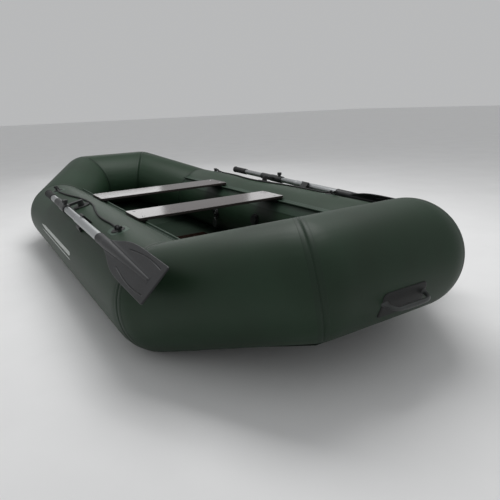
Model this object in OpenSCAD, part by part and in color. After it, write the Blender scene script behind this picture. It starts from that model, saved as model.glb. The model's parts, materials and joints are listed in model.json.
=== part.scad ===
// Inflatable rowing boat with two sliding bench seats, a slatted floor and a pair of oars.
// +X points to the bow, +Y to port, +Z up. The origin is under the middle of the bottom sheet.

/* [Hull] */
// Outer radius of the air tubes
tube_r = 175; // [150:1:215]
// Thickness of the coated hull fabric
wall = 1; // [0.8:0.1:1.5]
// Half length of the straight side tubes, to where the corners begin
side_half = 825; // [720:5:1000]
// Distance of each side tube's axis from the middle of the boat
side_y = 465; // [450:1:560]
// How far the end tubes lie beyond the side tubes, along X
end_reach = 400; // [340:5:480]
// Half length of the transverse tube at each end
end_half = 195; // [165:1:234]
// Height of the end tubes' axes above the side tubes' axes
end_rise = 118; // [60:1:142]
// Thickness of the bottom sheet
sheet_t = 1; // [0.8:0.1:2]
// Width of bottom sheet glued on, outside the tubes' axes
sheet_lap = 25; // [10:1:50]

/* [Floor] */
// Number of floor slats
slat_count = 9; // [5:1:11]
// Width of one slat
slat_w = 82; // [60:1:90]
// Distance from one slat to the next
slat_pitch = 95; // [94:1:110]
// Length of a slat, across the boat
slat_len = 570; // [400:5:640]
// Thickness of a slat
slat_t = 9; // [6:0.5:12]
// Thickness of the mat that carries the slats
mat_t = 1; // [0.8:0.1:2]

/* [Seats] */
// Width of a seat board, along the boat
seat_w = 182; // [150:1:219]
// Thickness of a seat board
seat_t = 12; // [9:0.5:18]
// Corner radius of a seat board
seat_corner = 10; // [4:1:25]
// Middle of the bow seat
bow_seat_x = 248; // [220:1:300]
// Middle of the stern seat
stern_seat_x = -321; // [-360:1:-280]
// Diameter of the rail's bead
bead_d = 8; // [6:0.5:10]
// Distance of the bead's middle from the tube's skin
bead_out = 13.6; // [12:0.1:18]
// Angle of the bead round the tube, from the outboard side
rail_angle = 133.6; // [128:0.1:138]
// Play between the bead and its runner, all round
rail_play = 0.35; // [0.3:0.05:0.6]

/* [Oars] */
// Radius of the inner shaft
shaft_r = 15; // [12.5:0.5:16]
// Wall of the inner shaft and of the outer shaft
shaft_wall = 1.5; // [1:0.1:2.5]
// Radius of the outer shaft
sleeve_r = 17; // [16.8:0.1:20.4]
// Length of the oar inboard of the oarlock
oar_inboard = 380; // [360:5:440]
// How much farther in the port oar is drawn through its oarlock
port_oar_in = 75; // [60:5:90]
// Distance from the oarlock to the joint in the shaft
joint_x = 265; // [250:5:300]
// Distance from the oarlock to the blade's socket
socket_x = 600; // [520:5:700]
// Distance from the oarlock to the blade's end
blade_end_x = 1130; // [1100:5:1300]
// Half width of the blade
blade_half = 60; // [50:1:72]
// Thickness of the blade
blade_t = 6; // [4:0.5:8]
// Slope of the stowed blade, its inboard edge up
blade_roll = 45; // [40:1:50]
// Droop of the stowed oar, towards the bow
oar_droop = 1.5; // [1:0.1:2]
// Length of the grip
grip_len = 140; // [110:1:168]

/* [Oarlocks] */
// Place of the oarlocks along the boat
lock_x = -40; // [-60:1:-20]
// Angle of the oarlocks on the tubes, outboard of the top
lock_lean = 13.2; // [11:0.1:16]
// Radius of the pin that the oarlock swivels on
pin_r = 7; // [5:0.5:8]
// Distance from the pin to the oar
arm_reach = 73; // [72:1:87]
// Height of the oar over the tube's skin at the pin
ring_h = 25; // [25:0.5:30]
// Distance from the oarlock to the oar rest
rest_x = 295; // [292:1:296]

/* [Valves and handle] */
// Place of the stern chamber's valve
stern_valve_x = -244; // [-300:1:-200]
// Place of the bow chamber's valve
bow_valve_x = 187; // [150:1:240]
// Radius of a valve's neck
valve_r = 18; // [16:0.5:20]
// Width of the bow handle's base
handle_w = 170; // [140:1:204]
// Gap for the fingers between the handle's base and its grip
handle_gap = 24; // [20:1:29]
// Radius of the bow handle's grip
handle_grip_r = 8; // [7:0.5:12]

/* [Grab ropes] */
// Diameter of a grab rope
rope_d = 8; // [6:0.5:10]
// Place of the stern end's rope mount
rope_stern_x = -606; // [-640:1:-580]
// Place of the bow end's rope mount
rope_bow_x = 521; // [500:1:560]

/* [Hidden] */
$fn = 72;

// Gap between a curved surface and what is glued to it
seat_gap = 0.3;
// Radial play of a part that turns or slides in a bore
running = 0.06;
// Radial play of a fixed part in its socket
snug = 0.2;
// How far a cutting tool runs past what it cuts
over = 5;

// Hull
tube_z = sheet_t + seat_gap + tube_r;
inner_r = tube_r - wall;
side_end = [side_half, side_y, tube_z];
end_corner = [side_half + end_reach, end_half, tube_z + end_rise];
corner_run = end_corner - side_end;
corner_dir = corner_run / norm(corner_run);
ramp = atan(end_rise / end_reach);
sheet_r = tube_r + seat_gap;
fold_x = side_half + sheet_r * tan(ramp / 2);
ramp_lap = 20;
ramp_end_x = side_half + end_reach + sheet_r * sin(ramp) + ramp_lap;
hull_span = 2 * (side_half + end_reach + 2 * tube_r);

// Floor
floor_len = (slat_count - 1) * slat_pitch + slat_w;
mat_margin = 6;
mat_top = sheet_t + mat_t;

// Seats
bead_r = bead_d / 2;
bead_polar = tube_r + bead_out;
bead_y = side_y + bead_polar * cos(rail_angle);
bead_z = tube_z + bead_polar * sin(rail_angle);
runner_w = 18;
runner_down = bead_r + rail_play + 4.6;
runner_up = bead_r + rail_play + 5.6;
runner_inset = 10;
seat_z = bead_z + runner_up;
seat_end_gap = 1.9;
seat_half = side_y - sqrt(pow(tube_r + seat_end_gap, 2) - pow(seat_z - tube_z, 2));
rail_tape_t = 2;
rail_web_t = 2.4;
rail_tape_angles = [rail_angle - 5.6, rail_angle + 16.4];
rail_stern_x = -side_half + 60;
rail_bow_x = side_half - 135;
rivet_r = 2.5;
rivet_head_r = 5.5;
rivet_head_t = 1.6;
rivet_x = seat_w / 2 - 31;

// Oarlocks and oars
lock_angle = 90 - lock_lean;
ring_y = side_y + (tube_r + ring_h) * cos(lock_angle) + arm_reach * sin(lock_angle);
ring_z = tube_z + (tube_r + ring_h) * sin(lock_angle) - arm_reach * cos(lock_angle);
lock_base_r = 36;
lock_base_t = 4;
lock_boss_r = pin_r + 7;
arm_t = 10;
arm_w = 22;
arm_low = ring_h - arm_t / 2;
boss_top = arm_low - seat_gap;
pin_low = 2.5;
ring_back = 24;
ring_front = 56;
ring_bore_r = shaft_r + 0.35;
ring_wall = 4.4;
ring_out_r = ring_bore_r + ring_wall;
knob_x = 40;
knob_boss_r = 8;
knob_low = ring_out_r + 6;
knob_h = 13;
knob_r = 12;
screw_r = 3;
screw_low = ring_bore_r + 0.3;
collar_len = 14;
collar_r = shaft_r + 4;
stop_len = 110;
stop_r = shaft_r + 2.5;
sleeve_lap = 70;
socket_r = sleeve_r + 2;
socket_len = 90;
rib_tip_r = 3;
rib_end_x = blade_end_x - 44;
shoulder_x = socket_x + 90;
button_x = joint_x + 62;
button_r = 4;
button_foot_r = 6;
button_proud = 2;

// Valves
stern_valve_angle = 184.7;
bow_valve_angle = 173.2;
valve_wall = 2;
valve_in_r = valve_r - valve_wall;
flange_r = valve_r + 14;
flange_t = 4.5;
neck_r = valve_r + 6;
neck_top = 10;
valve_low = -8;
port_r = valve_r + 0.3;
seat_in_r = 9.5;
guide_r = 4.5;
stem_r = 2.5;
plunger_r = 12;
hinge_y = -(flange_r - 1);
hinge_z = 12;
cap_r = valve_r + 7;
cap_t = 3.7;
cap_low = neck_top + seat_gap;
knuckle_r = 3;
knuckle_w = 12;
hinge_pin_r = 1.5;
stern_cap_open = 170;

// Bow handle
handle_lean = -14.6;
handle_rise = 10.2;
handle_drop = 17.4;
handle_base_t = 3;
handle_grip_at = tube_r + seat_gap + handle_base_t + handle_gap + handle_grip_r;
handle_inner = handle_w / 2 - 24;
lug_t = 12;
lug_r = handle_grip_r + 3;
axle_r = 5;

// Grab ropes: along the boat, outboard of the rope's line, lift off the skin, radius
rope_r = rope_d / 2;
knot_r = 2.2 * rope_r;
eye_lift = 6;
rope_route = [
    [rope_stern_x - 32, 0, 9.4, 0.6 * rope_r],
    [rope_stern_x - 29, 0, 9.4, knot_r],
    [rope_stern_x - 19, 0, 9.4, knot_r],
    [rope_stern_x - 15, 0, 7.6, rope_r],
    [rope_stern_x, 0, eye_lift, rope_r],
    [rope_stern_x + 20, 0, 5, rope_r],
    [-540, 4, 0, rope_r],
    [-470, 0, 0, rope_r],
    [-400, -6, 0, rope_r],
    [-330, -15, 0, rope_r],
    [-270, -25, 0, rope_r],
    [-210, -35, 0, rope_r],
    [-150, -41, 0, rope_r],
    [-100, -43, 0, rope_r],
    [-40, -43, 0, rope_r],
    [20, -38, 0, rope_r],
    [80, -28, 0, rope_r],
    [140, -18, 0, rope_r],
    [200, -9, 0, rope_r],
    [260, -3, 0, rope_r],
    [330, -1, 0, rope_r],
    [420, -4, 0, rope_r],
    [470, -3, 0, rope_r],
    [rope_bow_x - 18, 0, 5, rope_r],
    [rope_bow_x, 0, eye_lift, rope_r],
    [rope_bow_x + 15, 0, 7.6, rope_r],
    [rope_bow_x + 19, 0, 9.4, knot_r],
    [rope_bow_x + 29, 0, 9.4, knot_r],
    [rope_bow_x + 32, 0, 9.4, 0.6 * rope_r]
];
rope_sides = 8;

// Places and turns

// Turns +Z towards the direction d
module toward(d) {
    rotate([0, acos(d.z / norm(d)), atan2(d.y, d.x)]) children();
}

// Stands its children on the port side tube's skin, +Z outwards; angle 0 is outboard, 90 the top
module on_tube(x, angle) {
    translate([x, side_y, tube_z]) rotate([angle - 90, 0, 0]) translate([0, 0, tube_r]) children();
}

// Puts its children's origin in the middle of the port oarlock's ring, +X along the oar
module at_ring() {
    translate([lock_x, ring_y, ring_z]) rotate([0, oar_droop, 0]) children();
}

// Draws the port oar in through its collars
module drawn_in() {
    translate(port_oar_in * [-cos(oar_droop), 0, sin(oar_droop)]) children();
}

module starboard() {
    mirror([0, 1, 0]) children();
}

// All that lies beyond the point p in the direction d
module beyond(p, d) {
    translate(p) toward(d) translate([-hull_span / 2, -hull_span / 2, 0]) cube(hull_span);
}

// Hull tubes

// Half outline of a round-ended tube of length len along Y
module capsule_outline(len, r) {
    intersection() {
        union() {
            circle(r);
            translate([0, len]) circle(r);
            translate([-r, 0]) square([2 * r, len]);
        }
        translate([0, -r - over]) square([r + over, len + 2 * (r + over)]);
    }
}

module capsule(a, b, r) {
    translate(a) toward(b - a) rotate_extrude() capsule_outline(norm(b - a), r);
}

// Length of fabric tube from a to b, mitred where it meets the next tubes
module tube_shell(a, b, before, after) {
    run = (b - a) / norm(b - a);
    difference() {
        capsule(a, b, tube_r);
        capsule(a, b, inner_r);
        beyond(a, -(run + before));
        beyond(b, run + after);
    }
}

// The side tube's outer shape, grown by grow, for cutting what is glued on it
module side_skin(grow) {
    translate([-side_half, side_y, tube_z]) rotate([0, 90, 0])
        cylinder(r = tube_r + grow, h = 2 * side_half, $fn = 360);
}

module side_tube(with_valves) {
    back_dir = [corner_dir.x, -corner_dir.y, -corner_dir.z];
    difference() {
        tube_shell([-side_half, side_y, tube_z], side_end, back_dir, corner_dir);
        if (with_valves) {
            on_tube(stern_valve_x, stern_valve_angle) cylinder(r = port_r, h = 60, center = true);
            on_tube(bow_valve_x, bow_valve_angle) cylinder(r = port_r, h = 60, center = true);
        }
    }
}

module corner_tube() {
    tube_shell(side_end, end_corner, [1, 0, 0], [0, -1, 0]);
}

module end_tube() {
    other = [end_corner.x, -end_corner.y, end_corner.z];
    after = [-corner_dir.x, corner_dir.y, -corner_dir.z];
    tube_shell(end_corner, other, corner_dir, after);
}

module side_tube_port() {
    color("darkolivegreen") side_tube(true);
}

module side_tube_starboard() {
    color("darkolivegreen") starboard() side_tube(false);
}

module bow_corner_port() {
    color("darkolivegreen") corner_tube();
}

module bow_corner_starboard() {
    color("darkolivegreen") starboard() corner_tube();
}

module stern_corner_port() {
    color("darkolivegreen") mirror([1, 0, 0]) corner_tube();
}

module stern_corner_starboard() {
    color("darkolivegreen") mirror([1, 0, 0]) starboard() corner_tube();
}

module bow_tube() {
    color("darkolivegreen") end_tube();
}

module stern_tube() {
    color("darkolivegreen") mirror([1, 0, 0]) end_tube();
}

// Fabric walls that part the hull's air into a bow and a stern chamber
module chamber_bulkheads() {
    for (side = [-1, 1])
        color("darkolivegreen") translate([-wall / 2, side * side_y, tube_z])
            rotate([0, 90, 0]) cylinder(r = inner_r - seat_gap, h = wall);
}

// Bottom and floor

// Side view of the bottom sheet: flat in the middle, rising to both ends
module sheet_profile() {
    rise = (ramp_end_x - fold_x) * tan(ramp);
    lift = sheet_t / cos(ramp);
    low_fold_x = fold_x + sheet_t * tan(ramp / 2);
    polygon([
        [-ramp_end_x, rise + sheet_t], [-fold_x, sheet_t], [fold_x, sheet_t], [ramp_end_x, rise + sheet_t],
        [ramp_end_x, rise + sheet_t - lift], [low_fold_x, 0], [-low_fold_x, 0],
        [-ramp_end_x, rise + sheet_t - lift]
    ]);
}

module sheet_plan() {
    w = side_y + sheet_lap;
    w_end = end_half + sheet_lap;
    end_x = ramp_end_x + over;
    polygon([
        [end_x, w_end], [side_half, w], [-side_half, w], [-end_x, w_end],
        [-end_x, -w_end], [-side_half, -w], [side_half, -w], [end_x, -w_end]
    ]);
}

module bottom_sheet() {
    color("darkolivegreen") intersection() {
        rotate([90, 0, 0]) linear_extrude(hull_span, center = true) sheet_profile();
        linear_extrude(2 * (tube_r + end_rise)) sheet_plan();
    }
}

module floor_mat() {
    mat_len = floor_len + 2 * mat_margin;
    mat_w = slat_len + 2 * mat_margin;
    color("dimgray") translate([-mat_len / 2, -mat_w / 2, sheet_t]) cube([mat_len, mat_w, mat_t]);
}

module floor_slats() {
    for (i = [0 : slat_count - 1])
        color("saddlebrown") translate([-floor_len / 2 + i * slat_pitch, -slat_len / 2, mat_top])
            cube([slat_w, slat_len, slat_t]);
}

// Seats

// Cross-section of a rail: tape glued to the tube, a web and a round bead
module rail_profile() {
    low = rail_tape_angles[0];
    high = rail_tape_angles[1];
    far = 2 * tube_r;
    translate([side_y, tube_z]) {
        intersection() {
            difference() {
                circle(sheet_r + rail_tape_t);
                circle(sheet_r);
            }
            polygon([[0, 0], far * [cos(low), sin(low)], far * [cos(high), sin(high)]]);
        }
        rotate(rail_angle) translate([sheet_r + rail_tape_t / 2, -rail_web_t / 2])
            square([bead_out - seat_gap - rail_tape_t / 2, rail_web_t]);
        rotate(rail_angle) translate([bead_polar, 0]) circle(bead_r);
    }
}

// Extrudes a cross-section drawn in Y and Z along the boat
module along(from_x, to_x) {
    translate([from_x, 0, 0]) rotate([90, 0, 90]) linear_extrude(to_x - from_x) children();
}

module seat_rail() {
    along(rail_stern_x, rail_bow_x) rail_profile();
}

module seat_rail_port() {
    color("darkgreen") seat_rail();
}

module seat_rail_starboard() {
    color("darkgreen") starboard() seat_rail();
}

// Stands a seat's children in all four of its rivet places
module at_rivets(x) {
    for (side = [-1, 1], end = [-1, 1])
        translate([x + end * rivet_x, side * bead_y, 0]) children();
}

module seat_board(x) {
    half_x = seat_w / 2 - seat_corner;
    half_y = seat_half - seat_corner;
    difference() {
        translate([x, 0, seat_z]) linear_extrude(seat_t) union() {
            for (sx = [-1, 1], sy = [-1, 1])
                translate([sx * half_x, sy * half_y]) circle(seat_corner);
            square([2 * half_x, 2 * seat_half], center = true);
            square([seat_w, 2 * half_y], center = true);
        }
        at_rivets(x) translate([0, 0, seat_z - over]) cylinder(r = rivet_r + snug, h = seat_t + 2 * over);
    }
}

// C-shaped runner that slides along the rail's bead
module seat_runner(x) {
    from_x = x - seat_w / 2 + runner_inset;
    to_x = x + seat_w / 2 - runner_inset;
    slot = rail_web_t + 2 * 0.8;
    difference() {
        along(from_x, to_x) difference() {
            translate([bead_y - runner_w / 2, bead_z - runner_down])
                square([runner_w, runner_down + runner_up]);
            translate([bead_y, bead_z]) circle(bead_r + rail_play);
            translate([bead_y, bead_z]) rotate(rail_angle + 180) translate([0, -slot / 2])
                square([3 * runner_w, slot]);
        }
        at_rivets(x) translate([0, 0, bead_z + bead_r]) cylinder(r = rivet_r + snug, h = 2 * runner_up);
    }
}

module seat_runners(x) {
    seat_runner(x);
    starboard() seat_runner(x);
}

module seat_rivets(x) {
    shank_low = bead_z + bead_r + rail_play + 0.6;
    at_rivets(x) {
        translate([0, 0, shank_low]) cylinder(r = rivet_r, h = seat_z + seat_t - shank_low + over / 10);
        translate([0, 0, seat_z + seat_t]) cylinder(r1 = rivet_head_r, r2 = rivet_head_r - 1.2, h = rivet_head_t);
    }
}

module bow_seat_board() {
    color("saddlebrown") seat_board(bow_seat_x);
}

module bow_seat_runners() {
    color("black") seat_runners(bow_seat_x);
}

module bow_seat_rivets() {
    color("silver") seat_rivets(bow_seat_x);
}

module stern_seat_board() {
    color("saddlebrown") seat_board(stern_seat_x);
}

module stern_seat_runners() {
    color("black") seat_runners(stern_seat_x);
}

module stern_seat_rivets() {
    color("silver") seat_rivets(stern_seat_x);
}

// Bow handle

// Cross-section frame of the bow tube, in X and Z, extruded along Y over the width w
module across_bow(w) {
    translate([end_corner.x, w / 2, end_corner.z]) rotate([90, 0, 0]) linear_extrude(w) children();
}

module bow_handle_base() {
    far = 2 * tube_r;
    base_r = sheet_r + handle_base_t;
    low = handle_lean - handle_drop;
    high = handle_lean + handle_rise;
    color("black") difference() {
        union() {
            across_bow(handle_w) intersection() {
                difference() {
                    circle(base_r);
                    circle(sheet_r);
                }
                polygon([[0, 0], far * [cos(low), sin(low)], far * [cos(high), sin(high)]]);
            }
            for (side = [-1, 1])
                translate([0, side * (handle_inner + lug_t / 2), 0]) across_bow(lug_t) rotate(handle_lean) difference() {
                    union() {
                        translate([sheet_r + handle_base_t / 2, -lug_r])
                            square([handle_grip_at - sheet_r - handle_base_t / 2, 2 * lug_r]);
                        translate([handle_grip_at, 0]) circle(lug_r);
                    }
                    circle(sheet_r);
                }
        }
        across_bow(handle_w) rotate(handle_lean) translate([handle_grip_at, 0]) circle(axle_r + snug);
    }
}

module bow_handle_grip() {
    grip_w = 2 * (handle_inner - seat_gap);
    color("dimgray") {
        across_bow(grip_w) rotate(handle_lean) translate([handle_grip_at, 0]) circle(handle_grip_r);
        across_bow(2 * (handle_inner + lug_t)) rotate(handle_lean) translate([handle_grip_at, 0]) circle(axle_r);
    }
}

// Grab ropes

function rope_point(p) =
    let (angle = lock_angle - p[1] / tube_r * 180 / PI, r = tube_r + seat_gap + rope_r + p[2])
    [p[0], side_y + r * cos(angle), tube_z + r * sin(angle), p[3]];
function smooth(a, b, c, d, t) =
    0.5 * (2 * b + (c - a) * t + (2 * a - 5 * b + 4 * c - d) * t * t + (3 * b - a - 3 * c + d) * t * t * t);
function clamped(list, i) = list[max(0, min(len(list) - 1, i))];
function rope_line(route) = [
    for (i = [0 : len(route) - 2], t = i > 4 && i < len(route) - 6 ? [0, 0.5] : [0])
        smooth(clamped(route, i - 1), route[i], route[i + 1], clamped(route, i + 2), t),
    route[len(route) - 1]
];
function xyz(p) = [p[0], p[1], p[2]];
function heading(line, i) = xyz(clamped(line, i + 1)) - xyz(clamped(line, i - 1));
function rope_ring(line, i) =
    let (t = heading(line, i) / norm(heading(line, i)), u = cross(t, [0, 0, 1]) / norm(cross(t, [0, 0, 1])),
         v = cross(u, t))
    [for (k = [0 : rope_sides - 1]) let (a = 360 * k / rope_sides) xyz(line[i]) + line[i][3] * (cos(a) * u + sin(a) * v)];

module grab_rope() {
    line = rope_line([for (p = rope_route) rope_point(p)]);
    rings = len(line);
    corners = [for (i = [0 : rings - 1]) each rope_ring(line, i)];
    sides = [
        for (i = [0 : rings - 2], k = [0 : rope_sides - 1])
            let (a = i * rope_sides + k, b = i * rope_sides + (k + 1) % rope_sides)
            each [[a, b, b + rope_sides], [a, b + rope_sides, a + rope_sides]]
    ];
    first = [for (k = [rope_sides - 1 : -1 : 0]) k];
    last = [for (k = [0 : rope_sides - 1]) (rings - 1) * rope_sides + k];
    polyhedron(points = corners, faces = concat([first], sides, [last]));
}

module rope_port() {
    color("black") grab_rope();
}

module rope_starboard() {
    color("black") starboard() grab_rope();
}

// Rubber fitting with an eye that the rope's end is knotted behind
module rope_mount(x) {
    eye_z = seat_gap + rope_r + eye_lift;
    eye_r = rope_r + 0.8;
    difference() {
        on_tube(x, lock_angle) difference() {
            union() {
                translate([0, 0, -over]) cylinder(r = 26, h = over + 4);
                translate([-7, 0, 0]) rotate([90, 0, 90]) linear_extrude(14) union() {
                    translate([0, eye_z]) circle(eye_r + 4);
                    translate([-eye_r - 4, 0]) square([2 * (eye_r + 4), eye_z]);
                }
            }
            translate([0, 0, eye_z]) rotate([0, 90, 0]) cylinder(r = eye_r, h = 80, center = true);
        }
        side_skin(seat_gap);
    }
}

module rope_mounts() {
    for (x = [rope_stern_x, rope_bow_x]) {
        color("black") rope_mount(x);
        color("black") starboard() rope_mount(x);
    }
}

// Valves

module valve_body(x, angle) {
    color("black") difference() {
        on_tube(x, angle) difference() {
            union() {
                translate([0, 0, -over]) cylinder(r = flange_r, h = over + flange_t);
                cylinder(r = neck_r, h = neck_top);
                for (side = [-1, 1])
                    translate([side * (knuckle_w / 2 + 2.3) - 2, hinge_y - knuckle_r, 2])
                        cube([4, 2 * knuckle_r, hinge_z + 0.5]);
            }
            translate([0, 0, -2 * over]) cylinder(r = valve_in_r, h = 4 * over);
            translate([0, hinge_y, hinge_z]) rotate([0, 90, 0])
                cylinder(r = hinge_pin_r + running, h = 40, center = true);
        }
        side_skin(seat_gap);
    }
    color("black") on_tube(x, angle) {
        difference() {
            translate([0, 0, valve_low]) cylinder(r = valve_r, h = flange_t - valve_low);
            translate([0, 0, valve_low - over]) cylinder(r = valve_in_r, h = 4 * over);
        }
        difference() {
            translate([0, 0, -2.2]) cylinder(r = valve_in_r + valve_wall / 2, h = 2.2);
            translate([0, 0, -over]) cylinder(r = seat_in_r, h = 2 * over);
        }
        difference() {
            union() {
                translate([0, 0, -2.2]) cylinder(r = guide_r, h = 2.2);
                for (turn = [0, 120, 240])
                    rotate(turn) translate([guide_r - 1, -1, -2.2]) cube([seat_in_r - guide_r + 2, 2, 2.2]);
            }
            translate([0, 0, -over]) cylinder(r = stem_r + running, h = 2 * over);
        }
    }
}

// Ring nut that clamps the fabric from inside the tube
module valve_nut(x, angle) {
    color("black") intersection() {
        on_tube(x, angle) difference() {
            translate([0, 0, valve_low + 1]) cylinder(r = valve_r + 9, h = 10);
            translate([0, 0, valve_low]) cylinder(r = port_r, h = 20);
        }
        side_skin(-wall - seat_gap);
    }
}

module valve_stem(x, angle) {
    color("orangered") on_tube(x, angle) {
        translate([0, 0, -5.5]) cylinder(r = plunger_r, h = 3);
        translate([0, 0, -5.5]) cylinder(r = stem_r, h = 14);
        translate([0, 0, 7]) cylinder(r = 6, h = 2.5);
    }
}

// Cap on a hinged strap, turned open round the pin by open degrees
module valve_cap(x, angle, open) {
    color("gray") on_tube(x, angle) translate([0, hinge_y, hinge_z]) rotate([open, 0, 0])
        translate([0, -hinge_y, -hinge_z]) {
            translate([0, 0, cap_low]) cylinder(r = cap_r, h = cap_t);
            difference() {
                union() {
                    translate([0, hinge_y, hinge_z]) rotate([0, 90, 0])
                        cylinder(r = knuckle_r, h = knuckle_w, center = true);
                    translate([-knuckle_w / 2, hinge_y, cap_low]) cube([knuckle_w, 12, cap_t]);
                }
                translate([0, hinge_y, hinge_z]) rotate([0, 90, 0])
                    cylinder(r = hinge_pin_r + snug, h = 40, center = true);
            }
            translate([0, hinge_y, hinge_z]) rotate([0, 90, 0])
                cylinder(r = hinge_pin_r, h = knuckle_w + 8, center = true);
            translate([0, hinge_y, hinge_z]) rotate([0, 90, 0]) difference() {
                cylinder(r = hinge_pin_r + 1, h = knuckle_w - 2, center = true);
                cylinder(r = hinge_pin_r / 2, h = 40, center = true);
            }
        }
}

module valve_body_bow() {
    valve_body(bow_valve_x, bow_valve_angle);
}

module valve_nut_bow() {
    valve_nut(bow_valve_x, bow_valve_angle);
}

module valve_stem_bow() {
    valve_stem(bow_valve_x, bow_valve_angle);
}

module valve_cap_bow() {
    valve_cap(bow_valve_x, bow_valve_angle, 0);
}

module valve_body_stern() {
    valve_body(stern_valve_x, stern_valve_angle);
}

module valve_nut_stern() {
    valve_nut(stern_valve_x, stern_valve_angle);
}

module valve_stem_stern() {
    valve_stem(stern_valve_x, stern_valve_angle);
}

module valve_cap_stern() {
    valve_cap(stern_valve_x, stern_valve_angle, stern_cap_open);
}

// Oarlocks

// Moulded foot glued on the tube, with the socket for the swivel's pin
module oarlock_base() {
    color("black") difference() {
        on_tube(lock_x, lock_angle) difference() {
            union() {
                translate([0, 0, -over]) cylinder(r = lock_base_r, h = over + lock_base_t);
                cylinder(r = lock_boss_r, h = boss_top);
            }
            translate([0, 0, pin_low - running]) cylinder(r = pin_r + running, h = 2 * boss_top);
        }
        side_skin(seat_gap);
    }
}

// Pin, arm and the ring that the oar turns in, with a boss for the clamp screw
module oarlock_swivel() {
    color("black") difference() {
        union() {
            on_tube(lock_x, lock_angle) {
                translate([0, 0, pin_low]) cylinder(r = pin_r, h = arm_low - pin_low + 1);
                translate([0, 0, arm_low]) cylinder(r = lock_boss_r, h = arm_t);
                translate([-arm_w / 2, 0, arm_low]) cube([arm_w, arm_reach, arm_t]);
            }
            at_ring() {
                translate([-ring_back, 0, 0]) rotate([0, 90, 0]) cylinder(r = ring_out_r, h = ring_back + ring_front);
                translate([knob_x, 0, 0]) cylinder(r = knob_boss_r, h = knob_low - seat_gap);
            }
        }
        at_ring() {
            translate([-ring_back - over, 0, 0]) rotate([0, 90, 0])
                cylinder(r = ring_bore_r, h = ring_back + ring_front + 2 * over);
            translate([knob_x, 0, 0]) cylinder(r = screw_r + running, h = 2 * knob_low);
        }
    }
}

// Clamp screw with a lobed knob
module oarlock_knob() {
    color("black") at_ring() translate([knob_x, 0, 0]) {
        translate([0, 0, screw_low]) cylinder(r = screw_r, h = knob_low - screw_low + 1);
        translate([0, 0, knob_low]) linear_extrude(knob_h) difference() {
            circle(knob_r);
            for (turn = [0 : 72 : 359])
                rotate(turn) translate([knob_r + 2, 0]) circle(4);
        }
    }
}

// Cradle that the stowed oar lies in, high on its inboard side only
module oar_rest() {
    skin_y = side_y - ring_y;
    skin_z = tube_z - (ring_z - rest_x * sin(oar_droop));
    lean = atan2(-skin_z, -skin_y) - 90;
    deep = norm([skin_y, skin_z]) - tube_r + 8;
    color("black") difference() {
        at_ring() translate([rest_x, 0, 0]) rotate([lean, 0, 0]) translate([-25, 0, 0]) rotate([90, 0, 90])
            linear_extrude(50) difference() {
                polygon([[-30, -deep], [30, -deep], [30, 10 - deep], [26, -15], [-10, -15],
                    [-15, 8], [-19, 12], [-25, 10], [-30, 10 - deep]]);
                circle(sleeve_r + 1.2);
            }
        side_skin(seat_gap);
    }
}

// Oars, drawn with +X towards the blade and the oarlock at the origin

// Round rod or tube along X
module bar(from_x, to_x, r) {
    translate([from_x, 0, 0]) rotate([0, 90, 0]) cylinder(r = r, h = to_x - from_x);
}

module button_hole() {
    translate([button_x, 0, 0]) cylinder(r = button_r + running, h = 2 * sleeve_r);
}

module oar_shaft() {
    color("silver") at_ring() difference() {
        bar(-oar_inboard, joint_x + sleeve_lap + 20, shaft_r);
        bar(-oar_inboard - over, joint_x + sleeve_lap + 20 + over, shaft_r - shaft_wall);
        button_hole();
    }
}

module oar_sleeve() {
    color("silver") at_ring() difference() {
        bar(joint_x, socket_x + socket_len - 10, sleeve_r);
        bar(joint_x - over, socket_x + socket_len, shaft_r + snug);
        button_hole();
    }
}

module oar_button() {
    color("silver") at_ring() translate([button_x, 0, 0]) {
        translate([0, 0, shaft_r - 6]) cylinder(r = button_r, h = sleeve_r + button_proud + 6 - shaft_r);
        translate([0, 0, shaft_r - 6]) cylinder(r = button_foot_r, h = 2.6);
    }
}

module oar_grip() {
    color("black") at_ring() difference() {
        union() {
            bar(-oar_inboard - 3, -oar_inboard + grip_len, shaft_r + 2.5);
            bar(-oar_inboard - 3, -oar_inboard + 9, shaft_r + 4);
        }
        bar(-oar_inboard - seat_gap, -oar_inboard + grip_len + over, shaft_r + snug);
    }
}

// Moulded collars that keep the oar from sliding through the oarlock
module oar_collar() {
    color("black") at_ring() difference() {
        union() {
            bar(-ring_back - seat_gap - stop_len, -ring_back - seat_gap, stop_r);
            bar(-ring_back - seat_gap - collar_len, -ring_back - seat_gap, collar_r);
            bar(ring_front + seat_gap, ring_front + seat_gap + collar_len, collar_r);
        }
        bar(-ring_back - stop_len - over, ring_front + collar_len + over, shaft_r + snug);
    }
}

// Half of the blade's outline, from its shoulder to its square end
blade_side = [
    [shoulder_x, socket_r - 3], [shoulder_x + 40, 27], [shoulder_x + 78, 37], [shoulder_x + 110, 46],
    [shoulder_x + 150, 54], [shoulder_x + 200, blade_half - 1], [shoulder_x + 250, blade_half],
    [blade_end_x - 6, blade_half], [blade_end_x, blade_half - 6]
];

module blade_outline() {
    polygon(concat(blade_side, [for (i = [len(blade_side) - 1 : -1 : 0]) [blade_side[i].x, -blade_side[i].y]]));
}

// Moulded blade with its shaft socket and a rib down the middle
module oar_blade() {
    color("dimgray") at_ring() rotate([-blade_roll, 0, 0]) difference() {
        union() {
            translate([0, 0, -blade_t / 2]) linear_extrude(blade_t) blade_outline();
            bar(socket_x, shoulder_x, socket_r);
            translate([shoulder_x, 0, 0]) rotate([0, 90, 0])
                cylinder(r1 = socket_r, r2 = rib_tip_r, h = rib_end_x - shoulder_x);
        }
        bar(socket_x - over, socket_x + socket_len, sleeve_r + snug);
    }
}

module oarlock_base_port() {
    oarlock_base();
}

module oarlock_swivel_port() {
    oarlock_swivel();
}

module oarlock_knob_port() {
    oarlock_knob();
}

module oar_rest_port() {
    oar_rest();
}

module oar_shaft_port() {
    drawn_in() oar_shaft();
}

module oar_sleeve_port() {
    drawn_in() oar_sleeve();
}

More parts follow.
